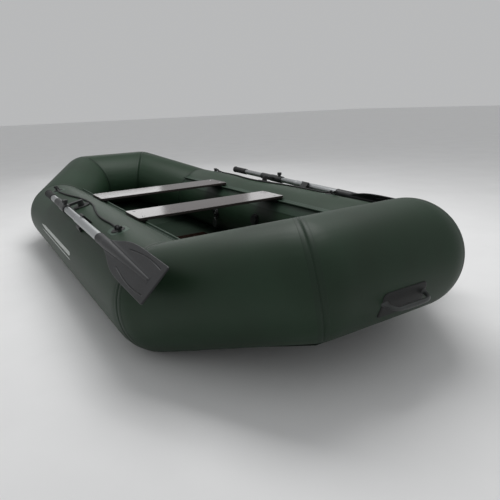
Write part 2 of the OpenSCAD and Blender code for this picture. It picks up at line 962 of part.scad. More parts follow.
module oar_blade_port() {
    drawn_in() oar_blade();
}

module oar_grip_port() {
    drawn_in() oar_grip();
}

module oar_collar_port() {
    oar_collar();
}

module oar_button_port() {
    drawn_in() oar_button();
}

module oarlock_base_starboard() {
    starboard() oarlock_base();
}

module oarlock_swivel_starboard() {
    starboard() oarlock_swivel();
}

module oarlock_knob_starboard() {
    starboard() oarlock_knob();
}

module oar_rest_starboard() {
    starboard() oar_rest();
}

module oar_shaft_starboard() {
    starboard() oar_shaft();
}

module oar_sleeve_starboard() {
    starboard() oar_sleeve();
}

module oar_blade_starboard() {
    starboard() oar_blade();
}

module oar_grip_starboard() {
    starboard() oar_grip();
}

module oar_collar_starboard() {
    starboard() oar_collar();
}

module oar_button_starboard() {
    starboard() oar_button();
}

side_tube_port();
side_tube_starboard();
bow_corner_port();
bow_corner_starboard();
stern_corner_port();
stern_corner_starboard();
bow_tube();
stern_tube();
chamber_bulkheads();
bottom_sheet();
floor_mat();
floor_slats();
seat_rail_port();
seat_rail_starboard();
bow_seat_board();
bow_seat_runners();
bow_seat_rivets();
stern_seat_board();
stern_seat_runners();
stern_seat_rivets();
bow_handle_base();
bow_handle_grip();
rope_mounts();
rope_port();
rope_starboard();
valve_body_bow();
valve_nut_bow();
valve_stem_bow();
valve_cap_bow();
valve_body_stern();
valve_nut_stern();
valve_stem_stern();
valve_cap_stern();
oarlock_base_port();
oarlock_swivel_port();
oarlock_knob_port();
oar_rest_port();
oar_shaft_port();
oar_sleeve_port();
oar_blade_port();
oar_grip_port();
oar_collar_port();
oar_button_port();
oarlock_base_starboard();
oarlock_swivel_starboard();
oarlock_knob_starboard();
oar_rest_starboard();
oar_shaft_starboard();
oar_sleeve_starboard();
oar_blade_starboard();
oar_grip_starboard();
oar_collar_starboard();
oar_button_starboard();
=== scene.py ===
import json
import math

import bmesh
import bpy
import numpy as np
from mathutils import Matrix, Vector

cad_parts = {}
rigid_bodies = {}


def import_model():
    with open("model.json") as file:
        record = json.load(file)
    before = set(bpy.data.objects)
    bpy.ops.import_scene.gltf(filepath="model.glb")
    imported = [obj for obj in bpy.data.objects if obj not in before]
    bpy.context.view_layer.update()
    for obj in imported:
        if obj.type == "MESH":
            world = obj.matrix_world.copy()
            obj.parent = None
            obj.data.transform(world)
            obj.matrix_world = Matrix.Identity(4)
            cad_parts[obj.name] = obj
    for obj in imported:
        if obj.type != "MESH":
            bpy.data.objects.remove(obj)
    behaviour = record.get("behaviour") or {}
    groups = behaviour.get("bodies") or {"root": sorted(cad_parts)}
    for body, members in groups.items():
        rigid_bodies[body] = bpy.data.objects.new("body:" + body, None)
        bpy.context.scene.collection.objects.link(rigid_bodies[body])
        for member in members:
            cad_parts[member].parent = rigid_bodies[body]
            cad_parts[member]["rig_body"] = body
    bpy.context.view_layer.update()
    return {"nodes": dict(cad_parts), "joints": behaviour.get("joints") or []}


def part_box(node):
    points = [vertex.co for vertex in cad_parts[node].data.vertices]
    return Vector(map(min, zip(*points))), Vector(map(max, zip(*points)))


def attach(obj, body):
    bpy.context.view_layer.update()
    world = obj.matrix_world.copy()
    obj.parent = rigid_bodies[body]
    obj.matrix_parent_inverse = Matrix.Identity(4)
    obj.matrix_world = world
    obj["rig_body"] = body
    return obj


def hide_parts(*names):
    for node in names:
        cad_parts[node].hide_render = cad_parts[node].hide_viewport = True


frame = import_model()
nodes = frame["nodes"]
joints = {j["name"]: j for j in frame["joints"]}

# The camera stands off the bow's starboard side at sitting height and looks down along the boat.
CAMERA_AT = Vector((2.175, -0.954, 0.757))
CAMERA_YAW = math.radians(31.28)
CAMERA_DOWN = math.radians(17.09)
CAMERA_ROLL = math.radians(-2.27)
camera = bpy.data.objects.new("camera", bpy.data.cameras.new("camera"))
camera.data.lens = 33.66
camera.data.sensor_width = 36.0
forward = Vector((
    -math.cos(CAMERA_YAW) * math.cos(CAMERA_DOWN), math.sin(CAMERA_YAW) * math.cos(CAMERA_DOWN),
    -math.sin(CAMERA_DOWN),
))
level = Vector((math.sin(CAMERA_YAW), math.cos(CAMERA_YAW), 0))
upward = level.cross(forward)
right = math.cos(CAMERA_ROLL) * level + math.sin(CAMERA_ROLL) * upward
top = -math.sin(CAMERA_ROLL) * level + math.cos(CAMERA_ROLL) * upward
camera.matrix_world = Matrix.Translation(CAMERA_AT) @ Matrix((right, top, -forward)).transposed().to_4x4()
bpy.context.scene.collection.objects.link(camera)
bpy.context.scene.camera = camera

# The grab ropes: black braided polyester cord, 8 mm, lying along the top of each side tube.
# They are knotted behind the eye at each end and bow inboard, clear of the turning oarlock.
# Sixteen yarns cross over each other, which the eye sees as rows of small diamonds.
tube_low, tube_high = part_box("side_tube_port")
TUBE_R = (tube_high.z - tube_low.z) / 2
TUBE_Y = (tube_high.y + tube_low.y) / 2
TUBE_Z = (tube_high.z + tube_low.z) / 2
GLUE_GAP = 0.0003
ROPE_R = 0.004
EYE_LIFT = 0.006
ROPE_STERN_X = -0.606
ROPE_BOW_X = 0.521
KNOT_PITCH = 0.024
KNOT_SIZE = 0.0034
KNOT_OPEN = 0.25
BRAID_TURN = 0.016
BRAID_HEIGHT = 0.00055
BRAID_WAVES = 4
ROPE_SIDES = 24
ROPE_STEP = 0.0013
SIDES = ((1, "port"), (-1, "starboard"))
pin_axis = Vector(joints["oarlock_port_swivel"]["axis"])
LOCK_ANGLE = math.atan2(pin_axis.z, pin_axis.y)
rope_route = [
    (ROPE_STERN_X - 0.019, 0, 0.0085), (ROPE_STERN_X - 0.015, 0, 0.0076), (ROPE_STERN_X, 0, EYE_LIFT),
    (ROPE_STERN_X + 0.020, 0, 0.005), (-0.540, 0.004, 0), (-0.470, 0, 0), (-0.400, -0.006, 0),
    (-0.330, -0.015, 0), (-0.270, -0.025, 0), (-0.210, -0.035, 0), (-0.150, -0.041, 0),
    (-0.100, -0.043, 0), (-0.040, -0.043, 0), (0.020, -0.038, 0), (0.080, -0.028, 0), (0.140, -0.018, 0),
    (0.200, -0.009, 0), (0.260, -0.003, 0), (0.330, -0.001, 0), (0.420, -0.004, 0), (0.470, -0.003, 0),
    (ROPE_BOW_X - 0.018, 0, 0.005), (ROPE_BOW_X, 0, EYE_LIFT), (ROPE_BOW_X + 0.015, 0, 0.0076),
    (ROPE_BOW_X + 0.019, 0, 0.0085),
]


def linear(colour):
    """An sRGB hex colour as linear red, green, blue and alpha."""
    parts = [int(colour[i:i + 2], 16) / 255 for i in (1, 3, 5)]
    return (*(c / 12.92 if c <= 0.04045 else ((c + 0.055) / 1.055) ** 2.4 for c in parts), 1.0)


def add(tree, kind, links=(), **settings):
    """Adds a node with its settings; links maps each input to a value or to another node's output."""
    made = tree.nodes.new(kind)
    for name, value in settings.items():
        setattr(made, name, value)
    for name, value in dict(links).items():
        if isinstance(value, bpy.types.NodeSocket):
            tree.links.new(value, made.inputs[name])
        else:
            made.inputs[name].default_value = value
    return made


def shader_for(name, **constants):
    """A new material with its Principled shader, and the constants set on the shader's own sockets."""
    material = bpy.data.materials.new(name)
    material.use_nodes = True
    tree = material.node_tree
    tree.nodes.clear()
    shader = add(tree, "ShaderNodeBsdfPrincipled")
    for socket, value in constants.items():
        shader.inputs[socket.replace("_", " ")].default_value = value
    add(tree, "ShaderNodeOutputMaterial", {"Surface": shader.outputs[0]})
    return material, tree, shader


def wire(tree, shader, colour, roughness, normal=None):
    """Links a material's colour, roughness and normal to its shader."""
    tree.links.new(colour, shader.inputs["Base Color"])
    tree.links.new(roughness, shader.inputs["Roughness"])
    if normal is not None:
        tree.links.new(normal, shader.inputs["Normal"])


def noise(tree, scale, detail=3.0, roughness=0.55, stretch=(1, 1, 1)):
    """Noise on the piece's own coordinates; scale is in features per metre."""
    place = add(tree, "ShaderNodeTexCoord")
    mapped = add(tree, "ShaderNodeMapping", {"Vector": place.outputs["Object"], "Scale": stretch})
    return add(tree, "ShaderNodeTexNoise", {
        "Vector": mapped.outputs[0], "Scale": scale, "Detail": detail, "Roughness": roughness,
    }).outputs["Fac"]


def ramp(tree, factor, low, high, at=(0.3, 0.7)):
    """Colours from low to high as factor goes over the stretch at."""
    made = add(tree, "ShaderNodeValToRGB", {"Fac": factor})
    made.color_ramp.elements[0].position = at[0]
    made.color_ramp.elements[1].position = at[1]
    made.color_ramp.elements[0].color = linear(low)
    made.color_ramp.elements[1].color = linear(high)
    return made.outputs["Color"]


def spread(tree, factor, low, high):
    """Turns a 0 to 1 factor into a number from low to high."""
    return add(tree, "ShaderNodeMapRange", {
        "Value": factor, "From Min": 0.25, "From Max": 0.75, "To Min": low, "To Max": high,
    }).outputs["Result"]


def bump(tree, height, distance, strength=1.0, normal=None):
    """A bump of that height in metres."""
    links = {"Height": height, "Distance": distance, "Strength": strength}
    if normal is not None:
        links["Normal"] = normal
    return add(tree, "ShaderNodeBump", links).outputs["Normal"]


def plain_mesh(name, points, faces, materials=(), smooth=True):
    """A mesh object at the origin from points in metres."""
    mesh = bpy.data.meshes.new(name)
    mesh.from_pydata([tuple(p) for p in points], [], [tuple(f) for f in faces])
    mesh.validate()
    for material in materials:
        mesh.materials.append(material)
    mesh.polygons.foreach_set("use_smooth", [smooth] * len(mesh.polygons))
    made = bpy.data.objects.new(name, mesh)
    bpy.context.scene.collection.objects.link(made)
    return made


def grid_faces(rows, columns, first=0):
    """Quads of a grid that closes round its columns, with its normals away from the line it goes round."""
    return [
        (first + i * columns + j, first + i * columns + (j + 1) % columns,
         first + (i + 1) * columns + (j + 1) % columns, first + (i + 1) * columns + j)
        for i in range(rows - 1) for j in range(columns)
    ]


def fasten(piece, body, slot, *stands_for):
    """Rides the piece on its body and hides the CAD nodes that it stands for; slot is not used."""
    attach(piece, body)
    if stands_for:
        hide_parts(*stands_for)
    return piece


def mirrored(points, faces, side):
    """The port piece's points and faces, or the starboard piece's if side is -1."""
    if side > 0:
        return points, faces
    return [(p[0], -p[1], p[2]) for p in points], [tuple(reversed(f)) for f in faces]


def smooth_line(points, step):
    """A smooth line through the points, as evenly spaced points about step apart."""
    ends = [2 * points[0] - points[1], *points, 2 * points[-1] - points[-2]]
    fine = []
    for a, b, c, d in zip(ends, ends[1:], ends[2:], ends[3:]):
        for t in np.linspace(0, 1, 24, endpoint=False):
            fine.append(0.5 * (2 * b + (c - a) * t + (2 * a - 5 * b + 4 * c - d) * t ** 2
                               + (3 * b - a - 3 * c + d) * t ** 3))
    fine = np.array([*fine, points[-1]])
    along = np.concatenate([[0], np.cumsum(np.linalg.norm(np.diff(fine, axis=0), axis=1))])
    at = np.linspace(0, along[-1], max(2, round(along[-1] / step) + 1))
    return np.stack([np.interp(at, along, fine[:, i]) for i in range(3)], axis=1), along[-1]


def swept(line, sides, radius):
    """Points and faces of a closed tube along a line; radius(i, angle, distance) gives its size."""
    heading = np.gradient(line, axis=0)
    heading /= np.linalg.norm(heading, axis=1)[:, None]
    across = np.cross(heading[0], (0.13, 0.21, 0.97))
    step = np.linalg.norm(line[1] - line[0])
    points = []
    for i, (p, t) in enumerate(zip(line, heading)):
        across = across - t * (across @ t)
        across /= np.linalg.norm(across)
        other = np.cross(t, across)
        for k in range(sides):
            a = 2 * math.pi * k / sides
            points.append(p + radius(i, a, i * step) * (math.cos(a) * across + math.sin(a) * other))
    faces = grid_faces(len(line), sides)
    last = (len(line) - 1) * sides
    faces += [tuple(range(sides - 1, -1, -1)), tuple(range(last, last + sides))]
    return points, faces


def rope_point(x, across, lift):
    """A point on the port rope's line, across outboard of the oarlock's line and lifted off the skin."""
    angle = LOCK_ANGLE - across / TUBE_R
    reach = TUBE_R + GLUE_GAP + ROPE_R + lift
    return np.array([x, TUBE_Y + reach * math.cos(angle), TUBE_Z + reach * math.sin(angle)])


def braid(i, angle, distance):
    """The rope's radius where yarns wind both ways round it."""
    turn = 2 * math.pi * distance / BRAID_TURN
    crests = [abs(math.cos(BRAID_WAVES * angle + way * turn)) for way in (1, -1)]
    return ROPE_R - BRAID_HEIGHT + BRAID_HEIGHT * max(crests)


def knot_line(centre, forwards):
    """An overhand knot's line, pulled tight, about its centre."""
    turns = np.linspace(KNOT_OPEN, 2 * math.pi - KNOT_OPEN, 40)
    shape = np.stack([
        1.1 * KNOT_SIZE * np.sin(3 * turns), KNOT_SIZE * (np.sin(turns) + 1.6 * np.sin(2 * turns)),
        KNOT_SIZE * (np.cos(turns) - 1.6 * np.cos(2 * turns)),
    ], axis=1)
    return shape * (forwards, 1, 1) + centre


rope_black, tree, shader = shader_for(
    "braided_polyester_black", Metallic=0.0, Sheen_Weight=0.25, Sheen_Roughness=0.5)
shader.inputs["Sheen Tint"].default_value = linear("#5a5c5b")
fibre = noise(tree, 900, detail=4)
wire(tree, shader, ramp(tree, fibre, "#0c0d0d", "#1d1e1e"), spread(tree, fibre, 0.62, 0.85),
     bump(tree, fibre, 0.0003, 0.6))
rope_line, rope_length = smooth_line([rope_point(*p) for p in rope_route], ROPE_STEP)
for side, name in SIDES:
    points, faces = mirrored(*swept(rope_line, ROPE_SIDES, braid), side)
    rope = plain_mesh("grab_rope_" + name, points, faces, [rope_black])
    for end, forwards, end_name in ((0, -1, "stern"), (-1, 1, "bow")):
        middle = rope_line[end] + (forwards * KNOT_PITCH / 2, 0, 0)
        tied, _ = smooth_line(list(knot_line(middle, forwards)), ROPE_STEP)
        knot = plain_mesh(f"rope_knot_{name}_{end_name}",
                          *mirrored(*swept(tied, ROPE_SIDES, braid), side), [rope_black])
        fasten(knot, "hull", "rope_black")
    fasten(rope, "hull", "rope_black", "rope_" + name)

# The hull: eight lengths of PVC-coated polyester tube, mitred and welded into a ring and held
# round by air. The coating is smooth and satin, with a faint print of the cloth under it, and
# the fabric is drawn in and puckers a little beside each welded seam.
SIDE_HALF = 0.825
END_HALF = 0.195
SEAM_DRAW = 0.0012
SEAM_FADE = 0.028
PUCKER = 0.0016
PUCKER_FADE = 0.042
PUCKERS = (29, 43, 61)
TUBE_SIDES = 160
TAPE_HALF = 0.017
TAPE_T = 0.0005
bow_low, bow_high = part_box("bow_tube")
END_X = bow_high.x - TUBE_R
END_Z = (bow_low.z + bow_high.z) / 2
seam_rows = np.array([0, 3, 6, 9, 12, 14.5, 17, 20, 24, 29, 35, 42, 51, 62, 76, 92]) / 1000
MIDDLE_ROWS = 24
side_end = np.array([SIDE_HALF, TUBE_Y, TUBE_Z])
end_corner = np.array([END_X, END_HALF, END_Z])
corner_dir = (end_corner - side_end) / np.linalg.norm(end_corner - side_end)
ENDS = ((1, "bow"), (-1, "stern"))


def seam_reach(run, to, radial, r):
    """How far past its corner the skin at a radial direction meets the seam, along its own surface."""
    middle = (run + to) / np.linalg.norm(run + to)
    flat = -r * (radial @ middle) / (run @ middle)
    return np.where(flat > 0, r * np.arctan(flat / r), flat), middle


def radials(run, sides):
    """Unit vectors all round the direction run."""
    first = np.cross(run, (0, 0, 1))
    first /= np.linalg.norm(first)
    second = np.cross(run, first)
    angles = np.arange(sides) * 2 * math.pi / sides
    return np.cos(angles)[:, None] * first + np.sin(angles)[:, None] * second, angles


def on_skin(a, b, run, radial, reach_a, along, r):
    """The point and outward normal on a round-ended tube's skin, at a distance along it from seam a."""
    x = along - reach_a
    length = np.linalg.norm(b - a)
    bend = np.where(x < 0, x / r, np.where(x > length, (x - length) / r, 0))
    normal = np.cos(bend)[:, None] * radial + np.sin(bend)[:, None] * run
    base = a + np.clip(x, 0, length)[:, None] * run
    return base + r * normal if np.isscalar(r) else base + r[:, None] * normal, normal


def drawn_in(distance):
    """How much thinner the tube is at a distance from its seam."""
    return SEAM_DRAW * np.exp(-distance / SEAM_FADE)


def tube_skin(a, b, before, after):
    """Points and faces of one mitred tube, drawn in and puckered beside its two seams."""
    run = (b - a) / np.linalg.norm(b - a)
    radial, angles = radials(run, TUBE_SIDES)
    reach_a, middle_a = seam_reach(-run, -before, radial, TUBE_R)
    reach_b, middle_b = seam_reach(run, after, radial, TUBE_R)
    total = np.linalg.norm(b - a) + reach_a + reach_b
    edge = seam_rows[-1]
    rows = [np.full(TUBE_SIDES, d) for d in seam_rows]
    rows += [edge + (total - 2 * edge) * (k + 1) / (MIDDLE_ROWS + 1) for k in range(MIDDLE_ROWS)]
    rows += [total - d for d in seam_rows[::-1]]
    points = []
    for along in rows:
        p, normal = on_skin(a, b, run, radial, reach_a, along, TUBE_R)
        change = np.zeros(TUBE_SIDES)
        for distance, middle, phase in ((along, middle_a, 0.7), (total - along, middle_b, 2.1)):
            inner = np.clip(radial @ middle, 0, 1)
            rise = np.clip((distance - 0.012) / 0.02, 0, 1) ** 2 * np.exp(-distance / PUCKER_FADE)
            wave = sum(np.sin(k * angles + phase * k + 1.5 * np.sin(3 * angles + k)) for k in PUCKERS)
            wave /= len(PUCKERS)
            change += PUCKER * (0.35 + 1.3 * inner) * rise * wave - drawn_in(distance)
        points.extend(p + change[:, None] * normal)
    faces = grid_faces(len(rows), TUBE_SIDES)
    last = (len(rows) - 1) * TUBE_SIDES
    return points, faces + [tuple(range(TUBE_SIDES - 1, -1, -1)), tuple(range(last, last + TUBE_SIDES))]


def seam_tape(corner, run, to):
    """Points and faces of one half of the welded tape over a seam, on the tube that comes along run."""
    radial, _ = radials(run, TUBE_SIDES)
    section = [
        (0, -0.0006), (0, TAPE_T), (0.5 * TAPE_HALF, TAPE_T), (TAPE_HALF - 0.0012, TAPE_T - 0.0001),
        (TAPE_HALF - 0.0003, TAPE_T - 0.0004), (TAPE_HALF, -0.0006),
    ]
    points = []
    for distance, height in section:
        r = TUBE_R + height - float(drawn_in(np.array(distance)))
        reach, _ = seam_reach(run, to, radial, r)
        x = reach - distance
        bend = np.clip(x, 0, None) / r
        normal = np.cos(bend)[:, None] * radial + np.sin(bend)[:, None] * run
        points.extend(corner + np.clip(x, None, 0)[:, None] * run + r * normal)
    rows = len(section)
    faces = [tuple(reversed(f)) for f in grid_faces(rows, TUBE_SIDES)]
    last = (rows - 1) * TUBE_SIDES
    faces += [(j, (j + 1) % TUBE_SIDES, last + (j + 1) % TUBE_SIDES, last + j) for j in range(TUBE_SIDES)]
    return points, faces


def pvc(name, low, high, rough=(0.46, 0.56)):
    """Calendered PVC coating: satin, with a faint print of the cloth's threads 2.4 mm apart."""
    material, tree, shader = shader_for(name, Metallic=0.0, IOR=1.5, Specular_IOR_Level=0.3)
    broad = noise(tree, 5, detail=2)
    fine = noise(tree, 420, detail=3)
    place = add(tree, "ShaderNodeTexCoord")
    threads = [
        add(tree, "ShaderNodeTexWave", {
            "Vector": place.outputs["Object"], "Scale": 130.0, "Distortion": 0.6,
        }, bands_direction=way).outputs["Fac"]
        for way in ("X", "Z")
    ]
    cloth = add(tree, "ShaderNodeMath", {0: threads[0], 1: threads[1]}, operation="ADD").outputs[0]
    grain = bump(tree, fine, 0.00012, 0.5)
    wire(tree, shader, ramp(tree, broad, low, high), spread(tree, fine, *rough),
         bump(tree, cloth, 0.00004, 0.35, grain))
    return material


hull_green = pvc("coated_polyester_green", "#182b1b", "#1d3322")
tape_green = pvc("welded_tape_green", "#18291b", "#1c3021")
ahead = np.array([1.0, 0, 0])
inboard = np.array([0, -1.0, 0])
side_run = (side_end * (-1, 1, 1), side_end, corner_dir * (1, -1, -1), corner_dir)
corner_run = (side_end, end_corner, ahead, inboard)
end_run = (end_corner, end_corner * (1, -1, 1), corner_dir, corner_dir * (-1, 1, -1))
tubes = [
    ("side_tube_port", side_run, (1, 1, 1)), ("side_tube_starboard", side_run, (1, -1, 1)),
    ("bow_corner_port", corner_run, (1, 1, 1)), ("bow_corner_starboard", corner_run, (1, -1, 1)),
    ("stern_corner_port", corner_run, (-1, 1, 1)), ("stern_corner_starboard", corner_run, (-1, -1, 1)),
    ("bow_tube", end_run, (1, 1, 1)), ("stern_tube", end_run, (-1, 1, 1)),
]
seams = [
    (side_end, ahead, corner_dir), (side_end, -corner_dir, -ahead),
    (end_corner, corner_dir, inboard), (end_corner, -inboard, -corner_dir),
]


def flipped(points, faces, signs):
    """Mirrors points by the signs of X, Y and Z, and turns the faces round if that turns them inside out."""
    points = [tuple(np.array(p) * signs) for p in points]
    return points, faces if np.prod(signs) > 0 else [tuple(reversed(f)) for f in faces]


def outwards(piece):
    """Merges doubles and makes the faces point outwards."""
    bm = bmesh.new()
    bm.from_mesh(piece.data)
    bmesh.ops.remove_doubles(bm, verts=bm.verts, dist=1e-6)
    bmesh.ops.recalc_face_normals(bm, faces=bm.faces)
    bm.to_mesh(piece.data)
    bm.free()
    return piece


skins = {}
for node, run, signs in tubes:
    skins[node] = outwards(plain_mesh(node + "_skin", *flipped(*tube_skin(*run), signs), [hull_green]))
    fasten(skins[node], "hull", "hull_pvc", node)
for end, end_name in ENDS:
    for side, name in SIDES:
        points, faces = [], []
        for seam in seams:
            part, quads = flipped(*seam_tape(*seam), (end, side, 1))
            faces += [tuple(i + len(points) for i in q) for q in quads]
            points += part
        tape = plain_mesh(f"seam_tape_{end_name}_{name}", points, faces, [tape_green])
        fasten(outwards(tape), "hull", "hull_pvc")

# The valves: black moulded bodies clamped through the port tube, one to each air chamber, with
# a grey stem inside and a cap that hangs on a paler hinged strap. The stern one's cap is open.
VALVE_HOLE = 0.019
STRAP_REACH = 0.012


def moulded(name, low, high, rough=(0.4, 0.55), grit=500, height=0.0001, **constants):
    """Injection-moulded plastic or rubber: even colour, with a fine spark-eroded grain from the mould."""
    material, tree, shader = shader_for(name, Metallic=0.0, IOR=1.5, **constants)
    grain = noise(tree, grit, detail=4)
    wire(tree, shader, ramp(tree, noise(tree, 22, detail=2), low, high), spread(tree, grain, *rough),
         bump(tree, grain, height, 0.6))
    return material


def eased(piece, width, segments, crease):
    """Breaks the edges that bend by more than crease degrees with a small round bevel."""
    edge = piece.modifiers.new("edge", "BEVEL")
    edge.width = width
    edge.segments = segments
    edge.limit_method = "ANGLE"
    edge.angle_limit = math.radians(crease)
    edge.harden_normals = True
    return piece


def refined(node, material, slot, bevel):
    """A CAD part's own mesh with whole flat faces, smooth curves and edges broken by a small bevel."""
    mesh = nodes[node].data.copy()
    bm = bmesh.new()
    bm.from_mesh(mesh)
    bmesh.ops.remove_doubles(bm, verts=bm.verts, dist=2e-6)
    bmesh.ops.dissolve_limit(bm, angle_limit=math.radians(0.6), verts=bm.verts, edges=bm.edges)
    bm.to_mesh(mesh)
    bm.free()
    mesh.polygons.foreach_set("use_smooth", [True] * len(mesh.polygons))
    mesh.set_sharp_from_angle(angle=math.radians(30))
    mesh.materials.clear()
    mesh.materials.append(material)
    piece = bpy.data.objects.new(node + "_finish", mesh)
    bpy.context.scene.collection.objects.link(piece)
    return fasten(eased(piece, bevel, 2, 30), nodes[node]["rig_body"], slot, node)


black_plastic = moulded("moulded_polyamide_black", "#131515", "#1b1d1d", (0.38, 0.52))
cap_black = moulded("moulded_polyethylene_black", "#161818", "#1f2121", (0.35, 0.5))
strap_grey = moulded("moulded_strap_grey", "#878b88", "#969a96", (0.4, 0.55))
stem_grey = moulded("moulded_acetal_grey", "#6f7371", "#7c807e", (0.3, 0.42))
for end in ("bow", "stern"):
    refined("valve_body_" + end, black_plastic, "black_plastic", 0.0004)
    refined("valve_nut_" + end, black_plastic, "black_plastic", 0.0004)
    refined("valve_stem_" + end, stem_grey, "stem_grey", 0.0003)
    cap = refined("valve_cap_" + end, cap_black, "cap_black", 0.0005)
    cap.data.materials.append(strap_grey)
    hinge = Vector(joints[f"valve_cap_{end}_hinge"]["pos_m"])
    for polygon in cap.data.polygons:
        polygon.material_index = int((polygon.center - hinge).length < STRAP_REACH)
    axis = Vector(joints[f"valve_stem_{end}_press"]["axis"])
    low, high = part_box("valve_nut_" + end)
    middle = Vector(((low.x + high.x) / 2, TUBE_Y, TUBE_Z))
    bm = bmesh.new()
    bm.from_mesh(skins["side_tube_port"].data)
    through = []
    for face in bm.faces:
        out = face.calc_center_median() - middle
        aside = out - axis * out.dot(axis)
        if out.dot(axis) > 0 and aside.length < VALVE_HOLE and len(face.verts) < 5:
            through.append(face)
    bmesh.ops.delete(bm, geom=through, context="FACES")
    bm.to_mesh(skins["side_tube_port"].data)
    bm.free()

# The bottom: one sheet of heavier coated fabric, welded under the tubes. Inside lies a folding
# floor: a fabric mat with plywood slats, film-faced like the seats, so it rolls up with the boat.
SLATS = 9
floor_low, floor_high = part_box("floor_slats")
SLAT_W = 0.082
SLAT_PITCH = (floor_high.x - floor_low.x - SLAT_W) / (SLATS - 1)
bottom_pvc = pvc("bottom_fabric_green", "#1a271d", "#202e24", (0.45, 0.6))
mat_black = moulded("coated_mat_fabric", "#1b1d1c", "#242725", (0.6, 0.8), grit=700, height=0.0002)
for node, material in (
    ("bottom_sheet", bottom_pvc), ("floor_mat", mat_black), ("chamber_bulkheads", bottom_pvc),
):
    nodes[node].data.materials.clear()
    nodes[node].data.materials.append(material)


def filmed_plywood(name, low, high, rough):
    """Film-faced birch plywood: phenolic film, glossy, with the veneer's grain faint beneath it."""
    material, tree, shader = shader_for(name, Metallic=0.0, IOR=1.52)
    veneer = noise(tree, 30, detail=5, stretch=(4, 0.5, 4))
    pressing = noise(tree, 260, detail=2)
    wire(tree, shader, ramp(tree, veneer, low, high), spread(tree, pressing, *rough),
         bump(tree, pressing, 0.00006, 0.5))
    return material


def cut_plies(name):
    """The sawn and sealed edge of plywood: thin brown plies 1.4 mm thick, light and dark in turn."""
    material, tree, shader = shader_for(name, Metallic=0.0, IOR=1.5)
    place = add(tree, "ShaderNodeTexCoord")
    plies = add(tree, "ShaderNodeTexWave", {
        "Vector": place.outputs["Object"], "Scale": 112.0, "Distortion": 1.2, "Detail Scale": 3.0,
    }, bands_direction="Z").outputs["Fac"]
    wire(tree, shader, ramp(tree, plies, "#1c1714", "#2d2520"), spread(tree, noise(tree, 300), 0.5, 0.7))
    return material


def show_edges(piece):
    """Gives the piece's level faces its first material and its upright edges the second."""
    for polygon in piece.data.polygons:
        polygon.material_index = 0 if abs(polygon.normal.z) > 0.5 else 1


plywood = filmed_plywood("film_faced_plywood", "#251815", "#33221e", (0.13, 0.19))
ply_edge = cut_plies("sealed_plywood_edge")


def nodes_for(name, sizes, material, build):
    """A Geometry Nodes tree with named number inputs; build(tree, inputs) returns the geometry to keep."""
    tree = bpy.data.node_groups.new(name, "GeometryNodeTree")
    for size, kind in sizes.items():
        tree.interface.new_socket(size, in_out="INPUT", socket_type=kind)
    tree.interface.new_socket("Geometry", in_out="OUTPUT", socket_type="NodeSocketGeometry")
    inputs = tree.nodes.new("NodeGroupInput")
    made = build(tree, inputs.outputs)
    real = add(tree, "GeometryNodeRealizeInstances", {"Geometry": made})
    finished = add(tree, "GeometryNodeSetMaterial", {"Geometry": real.outputs[0], "Material": material})
    add(tree, "NodeGroupOutput", {"Geometry": finished.outputs[0]})
    return tree


def grown(name, tree, values):
    """Runs a Geometry Nodes tree with its named inputs and returns the result as a plain mesh object."""
    host = bpy.data.objects.new(name + "_host", bpy.data.meshes.new(name + "_host"))
    bpy.context.scene.collection.objects.link(host)
    modifier = host.modifiers.new("grow", "NODES")
    modifier.node_group = tree
    for item in tree.interface.items_tree:
        if item.in_out == "INPUT":
            modifier[item.identifier] = values[item.name]
    bpy.context.view_layer.update()
    mesh = bpy.data.meshes.new_from_object(host.evaluated_get(bpy.context.evaluated_depsgraph_get()))
    bpy.data.objects.remove(host)
    used = [material for material in mesh.materials if material]
    mesh.materials.clear()
    for material in used:
        mesh.materials.append(material)
    mesh.polygons.foreach_set("material_index", [0] * len(mesh.polygons))
    made = bpy.data.objects.new(name, mesh)
    mesh.name = name
    bpy.context.scene.collection.objects.link(made)
    return made


def slat_row(tree, inputs):
    """One slat at each of a row of evenly spaced points."""
    line = add(tree, "GeometryNodeMeshLine", {
        "Count": inputs["Slats"], "Start Location": inputs["First slat"], "Offset": inputs["Pitch"],
    })
    slat = add(tree, "GeometryNodeMeshCube", {"Size": inputs["Slat"]})
    return add(tree, "GeometryNodeInstanceOnPoints", {
        "Points": line.outputs[0], "Instance": slat.outputs[0],
    }).outputs[0]


floor_tree = nodes_for("floor_slat_row", {
    "Slats": "NodeSocketInt", "First slat": "NodeSocketVector", "Pitch": "NodeSocketVector",
    "Slat": "NodeSocketVector",
}, plywood, slat_row)
floor_middle = (floor_low + floor_high) / 2
slats = grown("floor_slat_set", floor_tree, {
    "Slats": SLATS,
    "First slat": (floor_low.x + SLAT_W / 2, floor_middle.y, floor_middle.z),
    "Pitch": (SLAT_PITCH, 0.0, 0.0),
    "Slat": (SLAT_W, floor_high.y - floor_low.y, floor_high.z - floor_low.z),
})
slats.data.materials.append(ply_edge)
show_edges(slats)
fasten(eased(slats, 0.0012, 3, 30), "hull", "plywood", "floor_slats")

# The seats: bench boards of film-faced plywood, riveted to plastic runners that slide on a
# beaded rail welded inside each tube. The film is glossy and mirrors the light in a broad sheet.
BOARD_CORNER = 0.010
CORNER_STEPS = 8
RIVET_HEAD_R = 0.0055
RIVET_HEAD_H = 0.0018


